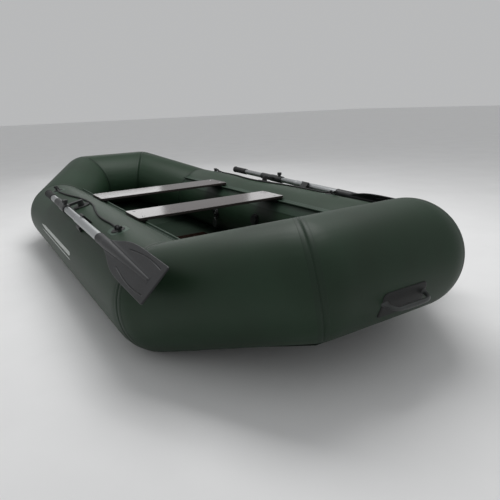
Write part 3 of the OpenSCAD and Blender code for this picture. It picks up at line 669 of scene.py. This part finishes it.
def board_mesh(name, node):
    """A rounded board with its edges eased, its faces filmed and its edge plies showing."""
    low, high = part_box(node)
    outline = []
    for sx, sy in ((1, 1), (-1, 1), (-1, -1), (1, -1)):
        x = (low.x + high.x) / 2 + sx * ((high.x - low.x) / 2 - BOARD_CORNER)
        y = sy * (high.y - BOARD_CORNER)
        start = math.atan2(sy, sx) - math.pi / 4
        for k in range(CORNER_STEPS + 1):
            a = start + k * math.pi / (2 * CORNER_STEPS)
            outline.append((x + BOARD_CORNER * math.cos(a), y + BOARD_CORNER * math.sin(a)))
    count = len(outline)
    points = [(x, y, low.z) for x, y in outline] + [(x, y, high.z) for x, y in outline]
    faces = [tuple(range(count - 1, -1, -1)), tuple(range(count, 2 * count))]
    faces += [(i, (i + 1) % count, count + (i + 1) % count, count + i) for i in range(count)]
    board = plain_mesh(name, points, faces, [plywood, ply_edge])
    show_edges(board)
    return eased(board, 0.0014, 3, 50)


def rivet_heads(tree, inputs):
    """A domed head at each corner of a rectangle."""
    corners = add(tree, "GeometryNodeMeshGrid", {
        "Size X": inputs["Across"], "Size Y": inputs["Apart"], "Vertices X": 2, "Vertices Y": 2,
    })
    placed = add(tree, "GeometryNodeTransform", {
        "Geometry": corners.outputs[0], "Translation": inputs["Middle"],
    })
    head = add(tree, "GeometryNodeMeshUVSphere", {"Segments": 24, "Rings": 12, "Radius": 1.0})
    return add(tree, "GeometryNodeInstanceOnPoints", {
        "Points": placed.outputs[0], "Instance": head.outputs[0], "Scale": inputs["Head"],
    }).outputs[0]


def brushed(name, low, high, rough, along=(1, 60, 60), **constants):
    """Bare or anodised metal with fine lines from drawing or brushing."""
    material, tree, shader = shader_for(name, Metallic=1.0, **constants)
    lines = noise(tree, 40, detail=5, stretch=along)
    wire(tree, shader, ramp(tree, lines, low, high), spread(tree, lines, *rough),
         bump(tree, lines, 0.00002, 0.4))
    return material


rivet_metal = brushed("plated_steel_rivet", "#8f9192", "#b4b6b7", (0.28, 0.4), (20, 20, 20))
rivet_tree = nodes_for("seat_rivet_heads", {
    "Across": "NodeSocketFloat", "Apart": "NodeSocketFloat", "Middle": "NodeSocketVector",
    "Head": "NodeSocketVector",
}, rivet_metal, rivet_heads)
for end in ("bow", "stern"):
    body = end + "_seat"
    board = board_mesh(end + "_bench_board", end + "_seat_board")
    fasten(board, body, "plywood", end + "_seat_board")
    refined(end + "_seat_runners", black_plastic, "black_plastic", 0.0006)
    low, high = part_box(end + "_seat_rivets")
    _, board_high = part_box(end + "_seat_board")
    heads = grown(end + "_rivet_heads", rivet_tree, {
        "Across": high.x - low.x - 2 * RIVET_HEAD_R, "Apart": high.y - low.y - 2 * RIVET_HEAD_R,
        "Middle": ((low.x + high.x) / 2, 0.0, board_high.z),
        "Head": (RIVET_HEAD_R, RIVET_HEAD_R, RIVET_HEAD_H),
    })
    heads.data.polygons.foreach_set("use_smooth", [True] * len(heads.data.polygons))
    fasten(heads, body, "rivet_steel", end + "_seat_rivets")

# The seat rails: a strip of hull fabric welded along the inside of each tube, with a cord sewn
# into its free edge. The strip's upper margin lies in small waves where the weld shrank it.
rail_low, rail_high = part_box("seat_rail_port")
BEAD_R = 0.004
BEAD_ANGLE = math.radians(133.6)
BEAD_OUT = 0.0136
TAPE_FROM = math.radians(126.5)
TAPE_TO = math.radians(150)
RAIL_ROWS = 420
WAVE_PITCH = 0.021
WAVE_SHIFT = 0.010
WAVE_LIFT = 0.0012
rail_green = pvc("rail_fabric_green", "#2a3a2f", "#344639", (0.42, 0.55))
section = [(TAPE_FROM, 0.0001), (TAPE_FROM, 0.0016), (TAPE_FROM + 0.02, 0.0021)]
section += [
    (BEAD_ANGLE - 0.014, 0.0022), (BEAD_ANGLE - 0.008, 0.0045), (BEAD_ANGLE - 0.0066, BEAD_OUT - 0.0036),
]
section += [
    (BEAD_ANGLE + BEAD_R * math.sin(t) / (TUBE_R + BEAD_OUT), BEAD_OUT + GLUE_GAP + BEAD_R * -math.cos(t))
    for t in np.linspace(-0.35, -2 * math.pi + 0.35, 20)
]
section += [
    (BEAD_ANGLE + 0.0066, BEAD_OUT - 0.0036), (BEAD_ANGLE + 0.008, 0.0045), (BEAD_ANGLE + 0.014, 0.0022),
    (TAPE_TO - 0.02, 0.0021), (TAPE_TO, 0.0016), (TAPE_TO, 0.0001),
]
points = []
for x in np.linspace(rail_low.x, rail_high.x, RAIL_ROWS):
    wave = 0.5 + 0.5 * math.sin(2 * math.pi * x / WAVE_PITCH + 1.3 * math.sin(x * 37))
    for k, (angle, height) in enumerate(section):
        shift = WAVE_SHIFT * (0.35 + 0.65 * wave) * (1 if k < 3 else 0)
        lift = WAVE_LIFT * wave * (1 if k in (1, 2) else 0)
        r = TUBE_R + height + lift
        points.append((x, TUBE_Y + r * math.cos(angle - shift), TUBE_Z + r * math.sin(angle - shift)))
faces = grid_faces(RAIL_ROWS, len(section))
last = (RAIL_ROWS - 1) * len(section)
faces += [tuple(range(len(section) - 1, -1, -1)), tuple(range(last, last + len(section)))]
for side, name in SIDES:
    rail = outwards(plain_mesh("seat_rail_strip_" + name, *mirrored(points, faces, side), [rail_green]))
    rail.data.set_sharp_from_angle(angle=math.radians(50))
    fasten(rail, "hull", "hull_pvc", "seat_rail_" + name)

# The bow handle: a rubber patch glued to the bow tube, with a grip bar bent out to a wide D so
# that a hand or a tow rope goes behind it. Matt rubber, the bar worn smoother than the patch, and its colour
# painted a lighter grey as a painted sheen.
handle_low, handle_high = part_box("bow_handle_base")
grip_low, grip_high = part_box("bow_handle_grip")
HANDLE_LEAN = math.radians(-14.6)
HANDLE_RISE = math.radians(10.2)
HANDLE_DROP = math.radians(17.4)
PATCH_T = 0.003
PATCH_CORNER = 0.016
GRIP_R = 0.0072
BAR_FOOT = 0.070
bow_axis = np.array([END_X, 0, END_Z])
grip_out = float(np.hypot((grip_low.x + grip_high.x) / 2 - END_X, (grip_low.z + grip_high.z) / 2 - END_Z))


def on_bow(y, angle, r):
    """A point at y along the bow tube, at an angle round it and at a distance from its axis."""
    return bow_axis + (r * math.cos(angle), y, r * math.sin(angle))


def patch_grid(half_y, half_a, corner, columns, rows):
    """Rounded-rectangle grid of (y, arc) places, with the rim's share of each."""
    places = []
    for i in range(rows + 1):
        for j in range(columns + 1):
            u, v = 2 * j / columns - 1, 2 * i / rows - 1
            y, a = u * half_y, v * half_a
            over_y, over_a = abs(y) - (half_y - corner), abs(a) - (half_a - corner)
            if over_y > 0 and over_a > 0:
                size = math.hypot(over_y, over_a)
                widest = max(over_y, over_a)
                y -= math.copysign(over_y - over_y * widest / size, y)
                a -= math.copysign(over_a - over_a * widest / size, a)
            places.append((y, a, max(abs(u), abs(v))))
    return places


def patch_piece(name, material, half_y, half_a, corner, thick, place):
    """A thin moulded patch with a rounded rim; place(y, arc, height) puts it on the tube."""
    columns, rows = 48, 32
    rim_share = 0.10
    top_side, under = [], []
    for y, a, rim in patch_grid(half_y, half_a, corner, columns, rows):
        edge = min(1.0, (1 - rim) / rim_share)
        top_side.append(place(y, a, thick * (0.25 + 0.75 * math.sqrt(max(0.0, 1 - (1 - edge) ** 2)))))
        under.append(place(y, a, -0.0002))
    count = len(top_side)
    faces = []
    for i in range(rows):
        for j in range(columns):
            a = i * (columns + 1) + j
            quad = (a, a + 1, a + columns + 2, a + columns + 1)
            faces += [quad, tuple(count + k for k in reversed(quad))]
    rim = list(range(columns + 1))
    rim += [i * (columns + 1) + columns for i in range(1, rows + 1)]
    rim += [rows * (columns + 1) + j for j in range(columns - 1, -1, -1)]
    rim += [i * (columns + 1) for i in range(rows - 1, 0, -1)]
    faces += [(a, count + a, count + b, b) for a, b in zip(rim, rim[1:] + rim[:1])]
    return outwards(plain_mesh(name, top_side + under, faces, [material]))


black_rubber = moulded("moulded_rubber_black", "#0e100f", "#161817", (0.55, 0.72), grit=420, height=0.00015)
# The grip bar's rubber is painted lighter grey than the patch as a painted sheen along it; its lower
# roughness is its wear.
bar_rubber_painted_sheen = moulded("worn_grip_rubber_painted_sheen", "#2c2f2e", "#3a3d3c", (0.3, 0.42), grit=380, height=0.0001)
patch_angle = HANDLE_LEAN + (HANDLE_RISE - HANDLE_DROP) / 2
patch = patch_piece(
    "bow_handle_patch", black_rubber, (handle_high.y - handle_low.y) / 2,
    TUBE_R * (HANDLE_RISE + HANDLE_DROP) / 2, PATCH_CORNER, PATCH_T,
    lambda y, a, h: on_bow(y, patch_angle + a / TUBE_R, TUBE_R + GLUE_GAP + h))
fasten(patch, "hull", "black_rubber", "bow_handle_base")
half_bar = [
    (BAR_FOOT + 0.004, TUBE_R - 0.002), (BAR_FOOT + 0.003, TUBE_R + 0.010),
    (BAR_FOOT - 0.001, grip_out - 0.014), (BAR_FOOT - 0.009, grip_out - 0.004),
    (BAR_FOOT - 0.021, grip_out), (0.024, grip_out + 0.0005),
]
bar_places = [*((-y, r) for y, r in half_bar), (0.0, grip_out + 0.0005), *reversed(half_bar)]
bar_line, bar_length = smooth_line([on_bow(y, HANDLE_LEAN, r) for y, r in bar_places], 0.002)


def bar_radius(i, angle, distance):
    """The bar's radius: flared at its feet, swollen and finely ribbed where the hand holds it."""
    foot = min(distance, bar_length - distance)
    swell = 0.0016 * math.exp(-((distance - bar_length / 2) / 0.045) ** 4)
    flare = 0.008 * max(0.0, 1 - foot / 0.018) ** 2
    rib = 0.0003 * math.cos(2 * math.pi * distance / 0.006) * (1 if swell > 0.0012 else 0)
    return GRIP_R - 0.0014 + swell + flare + rib


bar = plain_mesh("bow_handle_bar", *swept(bar_line, 40, bar_radius), [bar_rubber_painted_sheen])
fasten(bar, "hull", "black_plastic", "bow_handle_grip")

# The rope mounts: a round rubber disc glued on an oval of hull fabric, with an eye for the rope.
MOUNT_R = 0.026
PATCH_HALF_X = 0.052
PATCH_HALF_ACROSS = 0.036
OVAL_CORNER = 0.034
OVAL_T = 0.0006
EYE_R = 0.0048
EYE_WALL = 0.0042
EYE_LEG = 0.72
eye_height = GLUE_GAP + ROPE_R + EYE_LIFT
patch_green = pvc("patch_fabric_green", "#34463a", "#3d5044", (0.45, 0.58))


def on_side(x, across, height):
    """A point at a height off the port tube's skin, across outboard of the oarlock's line."""
    angle = LOCK_ANGLE - across / TUBE_R
    r = TUBE_R + height
    return (x, TUBE_Y + r * math.cos(angle), TUBE_Z + r * math.sin(angle))


def joined(name, parts, material):
    """Several sets of points and faces as one mesh."""
    points, faces = [], []
    for some, quads in parts:
        faces += [tuple(i + len(points) for i in q) for q in quads]
        points += [tuple(p) for p in some]
    return plain_mesh(name, points, faces, [material])


def disc_on_side(x, across, profile, sides=72):
    """A round moulding bent to the tube, from a profile of (radius, height) steps out from its middle."""
    points = [on_side(x, across, profile[0][1])]
    for r, height in profile[1:]:
        for k in range(sides):
            a = 2 * math.pi * k / sides
            points.append(on_side(x + r * math.cos(a), across + r * math.sin(a), height))
    faces = [(0, 1 + (k + 1) % sides, 1 + k) for k in range(sides)]
    for i in range(len(profile) - 2):
        for k in range(sides):
            a, b = 1 + i * sides + k, 1 + i * sides + (k + 1) % sides
            faces.append((a, b, b + sides, a + sides))
    last = 1 + (len(profile) - 2) * sides
    faces.append(tuple(range(last, last + sides)))
    return points, faces


def eye_on_side(x):
    """The ring that holds the rope, standing on its disc."""
    reach = EYE_R + EYE_WALL / 2
    ring = [
        np.array(on_side(x, -reach * math.cos(a), eye_height + reach * math.sin(a)))
        for a in (-EYE_LEG + k * (math.pi + 2 * EYE_LEG) / 39 for k in range(40))
    ]
    foot_a = np.array(on_side(x, -reach - 0.004, 0.001))
    foot_b = np.array(on_side(x, reach + 0.004, 0.001))
    line, _ = smooth_line([foot_a, *ring[3:-3], foot_b], 0.0008)
    return swept(line, 20, lambda i, a, d: EYE_WALL / 2 * (1 + 0.9 * abs(math.cos(a))))


mount_profile = [
    (0, 0.0042), (0.012, 0.0042), (0.020, 0.0038), (MOUNT_R - 0.0026, 0.0030), (MOUNT_R - 0.0008, 0.0022),
    (MOUNT_R, 0.0010), (MOUNT_R, 0.0002),
]
mount_parts = []
for x in (ROPE_STERN_X, ROPE_BOW_X):
    for side in (1, -1):
        for part in (disc_on_side(x, 0, mount_profile), eye_on_side(x)):
            mount_parts.append(mirrored(*part, side))
mounts = outwards(joined("rope_mount_set", mount_parts, black_rubber))
fasten(mounts, "hull", "black_rubber", "rope_mounts")
for x, end in ((ROPE_STERN_X, "stern"), (ROPE_BOW_X, "bow")):
    for side, name in SIDES:
        oval = patch_piece(
            f"mount_patch_{end}_{name}", patch_green, PATCH_HALF_X, PATCH_HALF_ACROSS, OVAL_CORNER, OVAL_T,
            lambda u, v, h: tuple(np.array(on_side(x + u, v, h)) * (1, side, 1)))
        fasten(oval, "hull", "hull_pvc")

# The oarlocks: a rubber foot glued on each tube, a plastic swivel that turns on its pin, and a
# ring that the oar turns in, pinched by a screw with a lobed knob. The rest is a moulded cradle.
swivel_black = moulded("glass_filled_nylon_black", "#151717", "#1e2020", (0.36, 0.5), grit=620)
for name in ("port", "starboard"):
    refined("oarlock_base_" + name, black_rubber, "black_rubber", 0.0009)
    refined("oarlock_swivel_" + name, swivel_black, "black_plastic", 0.0011)
    refined("oarlock_knob_" + name, swivel_black, "black_plastic", 0.0009)
    refined("oar_rest_" + name, swivel_black, "black_plastic", 0.0012)

# The oars: an anodised aluminium shaft in two lengths that a snap button locks together, a foam
# grip, collars that keep it in its oarlock, and a moulded blade. Drawing leaves fine lines along it.
SHAFT_R = 0.015
SLEEVE_R = 0.017
INBOARD = 0.380
PORT_IN = 0.075
JOINT_X = 0.265
SHAFT_END = 0.355
SOCKET_X = 0.600
SLEEVE_END = 0.680
SHOULDER_X = 0.690
BLADE_END = 1.130
RIB_END = 1.086
SOCKET_R = 0.019
RIB_TIP_R = 0.0055
BLADE_ROLL = math.radians(-45)
BLADE_HALF_T = 0.003
GRIP_LEN = 0.140
GROOVE_DEPTH = 0.0023
GROOVE_HALF = 0.0024
GROOVE_FROM = 0.868
GROOVE_TO = 1.100
END_CORNER = 0.008
ring_at = Vector(joints["oar_port_feather"]["pos_m"])
oar_axis = Vector(joints["oar_port_feather"]["axis"])
oar_axis = oar_axis if oar_axis.x > 0 else -oar_axis
droop = math.atan2(-oar_axis.z, oar_axis.x)
OAR_SIDES = 96


def lathe(profile, sides=OAR_SIDES):
    """Points and faces of a shape turned about X from (x, radius) steps; a radius of 0 closes it."""
    points, rings = [], []
    for x, r in profile:
        if r <= 0:
            rings.append([len(points)])
            points.append((x, 0.0, 0.0))
        else:
            rings.append(list(range(len(points), len(points) + sides)))
            points += [(x, r * math.cos(2 * math.pi * k / sides), r * math.sin(2 * math.pi * k / sides))
                       for k in range(sides)]
    faces = []
    for a, b in zip(rings, rings[1:]):
        for k in range(sides):
            corner = [a[k % len(a)], a[(k + 1) % len(a)], b[(k + 1) % len(b)], b[k % len(b)]]
            faces.append(tuple(dict.fromkeys(corner)))
    return points, faces


def on_oar(points, roll, slide):
    """Moves points drawn along the oar, from its oarlock, to where the stowed port oar lies."""
    placed = (Matrix.Translation(ring_at) @ Matrix.Rotation(droop, 4, "Y") @ Matrix.Rotation(roll, 4, "X")
              @ Matrix.Translation((-slide, 0, 0)))
    return [tuple(placed @ Vector(p)) for p in points]


def oar_piece(name, parts, material, slot, stands_for, roll=0.0, crease=35.0):
    """Makes one piece of both oars; the port oar is drawn farther in."""
    for (side, where), slide in zip(SIDES, (PORT_IN, 0)):
        placed = [mirrored(on_oar(points, roll, slide), faces, side) for points, faces in parts]
        piece = outwards(joined(f"{name}_{where}", placed, material))
        piece.data.set_sharp_from_angle(angle=math.radians(crease))
        node = f"{stands_for}_{where}"
        fasten(piece, nodes[node]["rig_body"], slot, node)


drawn_metal = brushed("anodised_drawn_aluminium", "#8e9192", "#a9acad", (0.3, 0.42))
sleeve_metal = brushed("satin_anodised_aluminium", "#9da0a1", "#b8bbbc", (0.32, 0.45))
grip_foam = moulded("foam_grip_black", "#0d0e0e", "#151616", (0.7, 0.9), grit=900, height=0.0003)
collar_black = moulded("moulded_collar_black", "#121414", "#1a1c1c", (0.42, 0.56))
blade_grey = moulded(
    "moulded_polypropylene_grey", "#151618", "#1c1d20", (0.42, 0.56), grit=380, height=0.00016)
oar_piece("oar_inner_shaft", [lathe([
    (-INBOARD, 0), (-INBOARD, SHAFT_R), (SHAFT_END - 0.001, SHAFT_R), (SHAFT_END, SHAFT_R - 0.001),
    (SHAFT_END, 0),
])], drawn_metal, "alloy", "oar_shaft")
oar_piece("oar_outer_shaft", [lathe([
    (JOINT_X, SHAFT_R - 0.0005), (JOINT_X, SLEEVE_R - 0.0009), (JOINT_X + 0.0004, SLEEVE_R - 0.0003),
    (JOINT_X + 0.0012, SLEEVE_R), (JOINT_X + 0.020, SLEEVE_R), (JOINT_X + 0.022, SLEEVE_R - 0.0006),
    (JOINT_X + 0.024, SLEEVE_R), (SLEEVE_END, SLEEVE_R), (SLEEVE_END, SHAFT_R - 0.0005),
    (JOINT_X, SHAFT_R - 0.0005),
])], sleeve_metal, "alloy", "oar_sleeve")
grip_rings = [
    (-INBOARD + 0.012 + k * (GRIP_LEN - 0.018) / 21, SHAFT_R + (0.0025 if k % 3 else 0.0016))
    for k in range(22)
]
oar_piece("oar_hand_grip", [lathe([
    (-INBOARD - 0.003, 0), (-INBOARD - 0.003, 0.013), (-INBOARD - 0.0022, 0.0168),
    (-INBOARD, SHAFT_R + 0.0037), (-INBOARD + 0.006, SHAFT_R + 0.0040),
    (-INBOARD + 0.009, SHAFT_R + 0.0034), *grip_rings,
    (-INBOARD + GRIP_LEN - 0.002, SHAFT_R + 0.0024), (-INBOARD + GRIP_LEN, SHAFT_R + 0.0012),
    (-INBOARD + GRIP_LEN, SHAFT_R - 0.0005),
])], grip_foam, "grip_rubber", "oar_grip", crease=60)
for name in ("port", "starboard"):
    refined("oar_collar_" + name, collar_black, "black_plastic", 0.0010)
    refined("oar_button_" + name, rivet_metal, "rivet_steel", 0.0008)


def blade_half_width(x):
    """Half the blade's width at a distance from the oarlock."""
    places = np.array([0.660, 0.690, 0.730, 0.768, 0.800, 0.840, 0.890, 0.940, 1.000, 1.120, 1.140])
    halves = np.array([0.008, 0.016, 0.027, 0.037, 0.046, 0.0535, 0.0585, 0.060, 0.060, 0.060, 0.060])
    slopes = np.gradient(halves, places)
    i = int(np.clip(np.searchsorted(places, x) - 1, 0, len(places) - 2))
    h = places[i + 1] - places[i]
    t = (x - places[i]) / h
    return float((2 * t ** 3 - 3 * t ** 2 + 1) * halves[i] + (t ** 3 - 2 * t ** 2 + t) * h * slopes[i]
                 + (-2 * t ** 3 + 3 * t ** 2) * halves[i + 1] + (t ** 3 - t ** 2) * h * slopes[i + 1])


def blade_height(x, y, edge):
    """Half the blade's thickness there: rounded edge, middle rib, and a long groove on either side of it."""
    eased = min(1.0, edge / BLADE_HALF_T)
    flat = BLADE_HALF_T * math.sqrt(max(0.0, 1 - (1 - eased) ** 2))
    share = (x - SHOULDER_X) / (RIB_END - SHOULDER_X)
    rib_r = SOCKET_R + (RIB_TIP_R - SOCKET_R) * min(1.0, max(0.0, share))
    fade = min(1.0, max(0.0, (RIB_END + 0.004 - x) / 0.012)) ** 0.5
    rib = math.sqrt(max(0.0, rib_r ** 2 - y ** 2)) * fade
    fillet = 0.0035 * math.exp(-((abs(y) - rib_r) / 0.006) ** 2) if share < 1 else 0.0
    height = max(flat + fillet * min(1, 1.2 - share), rib)
    run = (x - GROOVE_FROM) / (GROOVE_TO - GROOVE_FROM)
    if -0.03 < run < 1.03:
        middle = 0.033 + 0.0135 * math.sin(math.pi * min(1, max(0, run)) * 0.78)
        ends = min(1.0, max(0.0, (run + 0.03) / 0.04)) * min(1.0, max(0.0, (1.03 - run) / 0.04))
        near = max(0.0, 1 - (abs(abs(y) - middle) / GROOVE_HALF) ** 2)
        height -= GROOVE_DEPTH * ends * near ** 0.5 if near > 0 else 0.0
    return height


edge_steps = [0, 0.0002, 0.0006, 0.0012, 0.0020, 0.0030]
rows_x = list(np.linspace(0.664, BLADE_END - 0.003, 190)) + [BLADE_END - s for s in reversed(edge_steps[:-1])]
half_columns = 78
blade_points = []
for x in rows_x:
    half = blade_half_width(x)
    if x > BLADE_END - END_CORNER:
        half -= END_CORNER - math.sqrt(max(0.0, END_CORNER ** 2 - (x - BLADE_END + END_CORNER) ** 2))
    inner = np.linspace(0, half - edge_steps[-1], half_columns)
    across = list(inner) + [half - s for s in reversed(edge_steps[:-1])]
    for y in [-a for a in reversed(across)] + across[1:]:
        blade_points.append((x, y, min(half - abs(y), BLADE_END - x)))
columns = 2 * (half_columns + len(edge_steps) - 1) - 1
upper = [(x, y, blade_height(x, y, e)) for x, y, e in blade_points]
lower = [(x, y, -z) for x, y, z in upper]
blade_faces = []
for i in range(len(rows_x) - 1):
    for j in range(columns - 1):
        a = i * columns + j
        quad = (a, a + columns, a + columns + 1, a + 1)
        blade_faces += [quad, tuple(len(upper) + k for k in reversed(quad))]
blade_faces += [(j, j + 1, len(upper) + j + 1, len(upper) + j) for j in range(columns - 1)]
socket = lathe([
    (SOCKET_X, SLEEVE_R + 0.0001), (SOCKET_X, SOCKET_R - 0.0006), (SOCKET_X + 0.0008, SOCKET_R + 0.0002),
    (SOCKET_X + 0.006, SOCKET_R + 0.0003), (SOCKET_X + 0.008, SOCKET_R - 0.0002),
    (SHOULDER_X, SOCKET_R - 0.0001), (SHOULDER_X + 0.05, SOCKET_R - 0.0021), (SHOULDER_X + 0.05, 0),
])
oar_piece("oar_moulded_blade", [(upper + lower, blade_faces), socket], blade_grey, "blade_plastic",
          "oar_blade", roll=BLADE_ROLL, crease=50)

# The trim: a plain pale band with a thin line under it, printed along the outer side of each
# side tube in matt ink that has worn a little unevenly.
TRIM_BANDS = ((math.radians(11.5), 0.017), (math.radians(4.5), 0.005))
TRIM_FROM = -0.43
TRIM_TO = 0.25
TRIM_STEPS = 160
trim_print, tree, shader = shader_for("printed_trim_grey", Metallic=0.0)
wear = noise(tree, 160, detail=4)
wire(tree, shader, ramp(tree, wear, "#a9aeaa", "#bcc1bc"), spread(tree, wear, 0.4, 0.55))
trim_parts = []
for angle, tall in TRIM_BANDS:
    for side in (1, -1):
        points = []
        for x in np.linspace(TRIM_FROM, TRIM_TO, TRIM_STEPS):
            taper = min(1.0, (x - TRIM_FROM + 0.004) / 0.10, (TRIM_TO + 0.004 - x) / 0.02)
            for across, height in ((-1, 0.0001), (-1, 0.00035), (1, 0.00035), (1, 0.0001)):
                a = angle + across * tall / 2 * taper / TUBE_R
                r = TUBE_R + height
                points.append((x, TUBE_Y + r * math.cos(a), TUBE_Z + r * math.sin(a)))
        last = (TRIM_STEPS - 1) * 4
        faces = grid_faces(TRIM_STEPS, 4) + [(3, 2, 1, 0), tuple(range(last, last + 4))]
        trim_parts.append(mirrored(points, faces, side))
trim = outwards(joined("side_trim_bands", trim_parts, trim_print))
fasten(trim, "hull", "hull_pvc")

# The studio: a pale floor under a pale even sky, a broad soft light over the boat, and two small
# panels behind it that the seats mirror.
FLOOR_HALF = 40.0
floor_pale, tree, shader = shader_for("pale_floor", Metallic=0.0, Roughness=0.85)
tree.links.new(ramp(tree, noise(tree, 3), "#e6e6e6", "#eaeaea"), shader.inputs["Base Color"])
floor_corners = [(x * FLOOR_HALF, y * FLOOR_HALF, 0) for x, y in ((-1, -1), (1, -1), (1, 1), (-1, 1))]
ground = plain_mesh("studio_floor", floor_corners, [(0, 1, 2, 3)], [floor_pale])
ground.location.z = -0.0005
world = bpy.data.worlds.new("studio")
bpy.context.scene.world = world
world.use_nodes = True
sky = world.node_tree.nodes["Background"]
sky.inputs["Color"].default_value = linear("#fbfcfd")
sky.inputs["Strength"].default_value = 0.5
bpy.context.scene.view_settings.view_transform = "Standard"


def soft_light(name, at, towards, width, height, watts):
    """A rectangular softbox, its size in metres, that faces a point."""
    lamp = bpy.data.lights.new(name, "AREA")
    lamp.shape = "RECTANGLE"
    lamp.size = width
    lamp.size_y = height
    lamp.energy = watts
    holder = bpy.data.objects.new(name, lamp)
    holder.location = at
    holder.rotation_mode = "QUATERNION"
    holder.rotation_quaternion = (Vector(towards) - Vector(at)).to_track_quat("-Z", "Y")
    bpy.context.scene.collection.objects.link(holder)


soft_light("overhead", (-0.2, 0.4, 2.8), (0, 0.1, 0.2), 2.6, 1.2, 58)
soft_light("back_left", (-4.1, 0.85, 1.35), (0, 0, 0.3), 1.1, 1.0, 4.5)
soft_light("back_right", (-3.1, 2.6, 1.35), (0, 0, 0.3), 0.6, 1.0, 1.8)
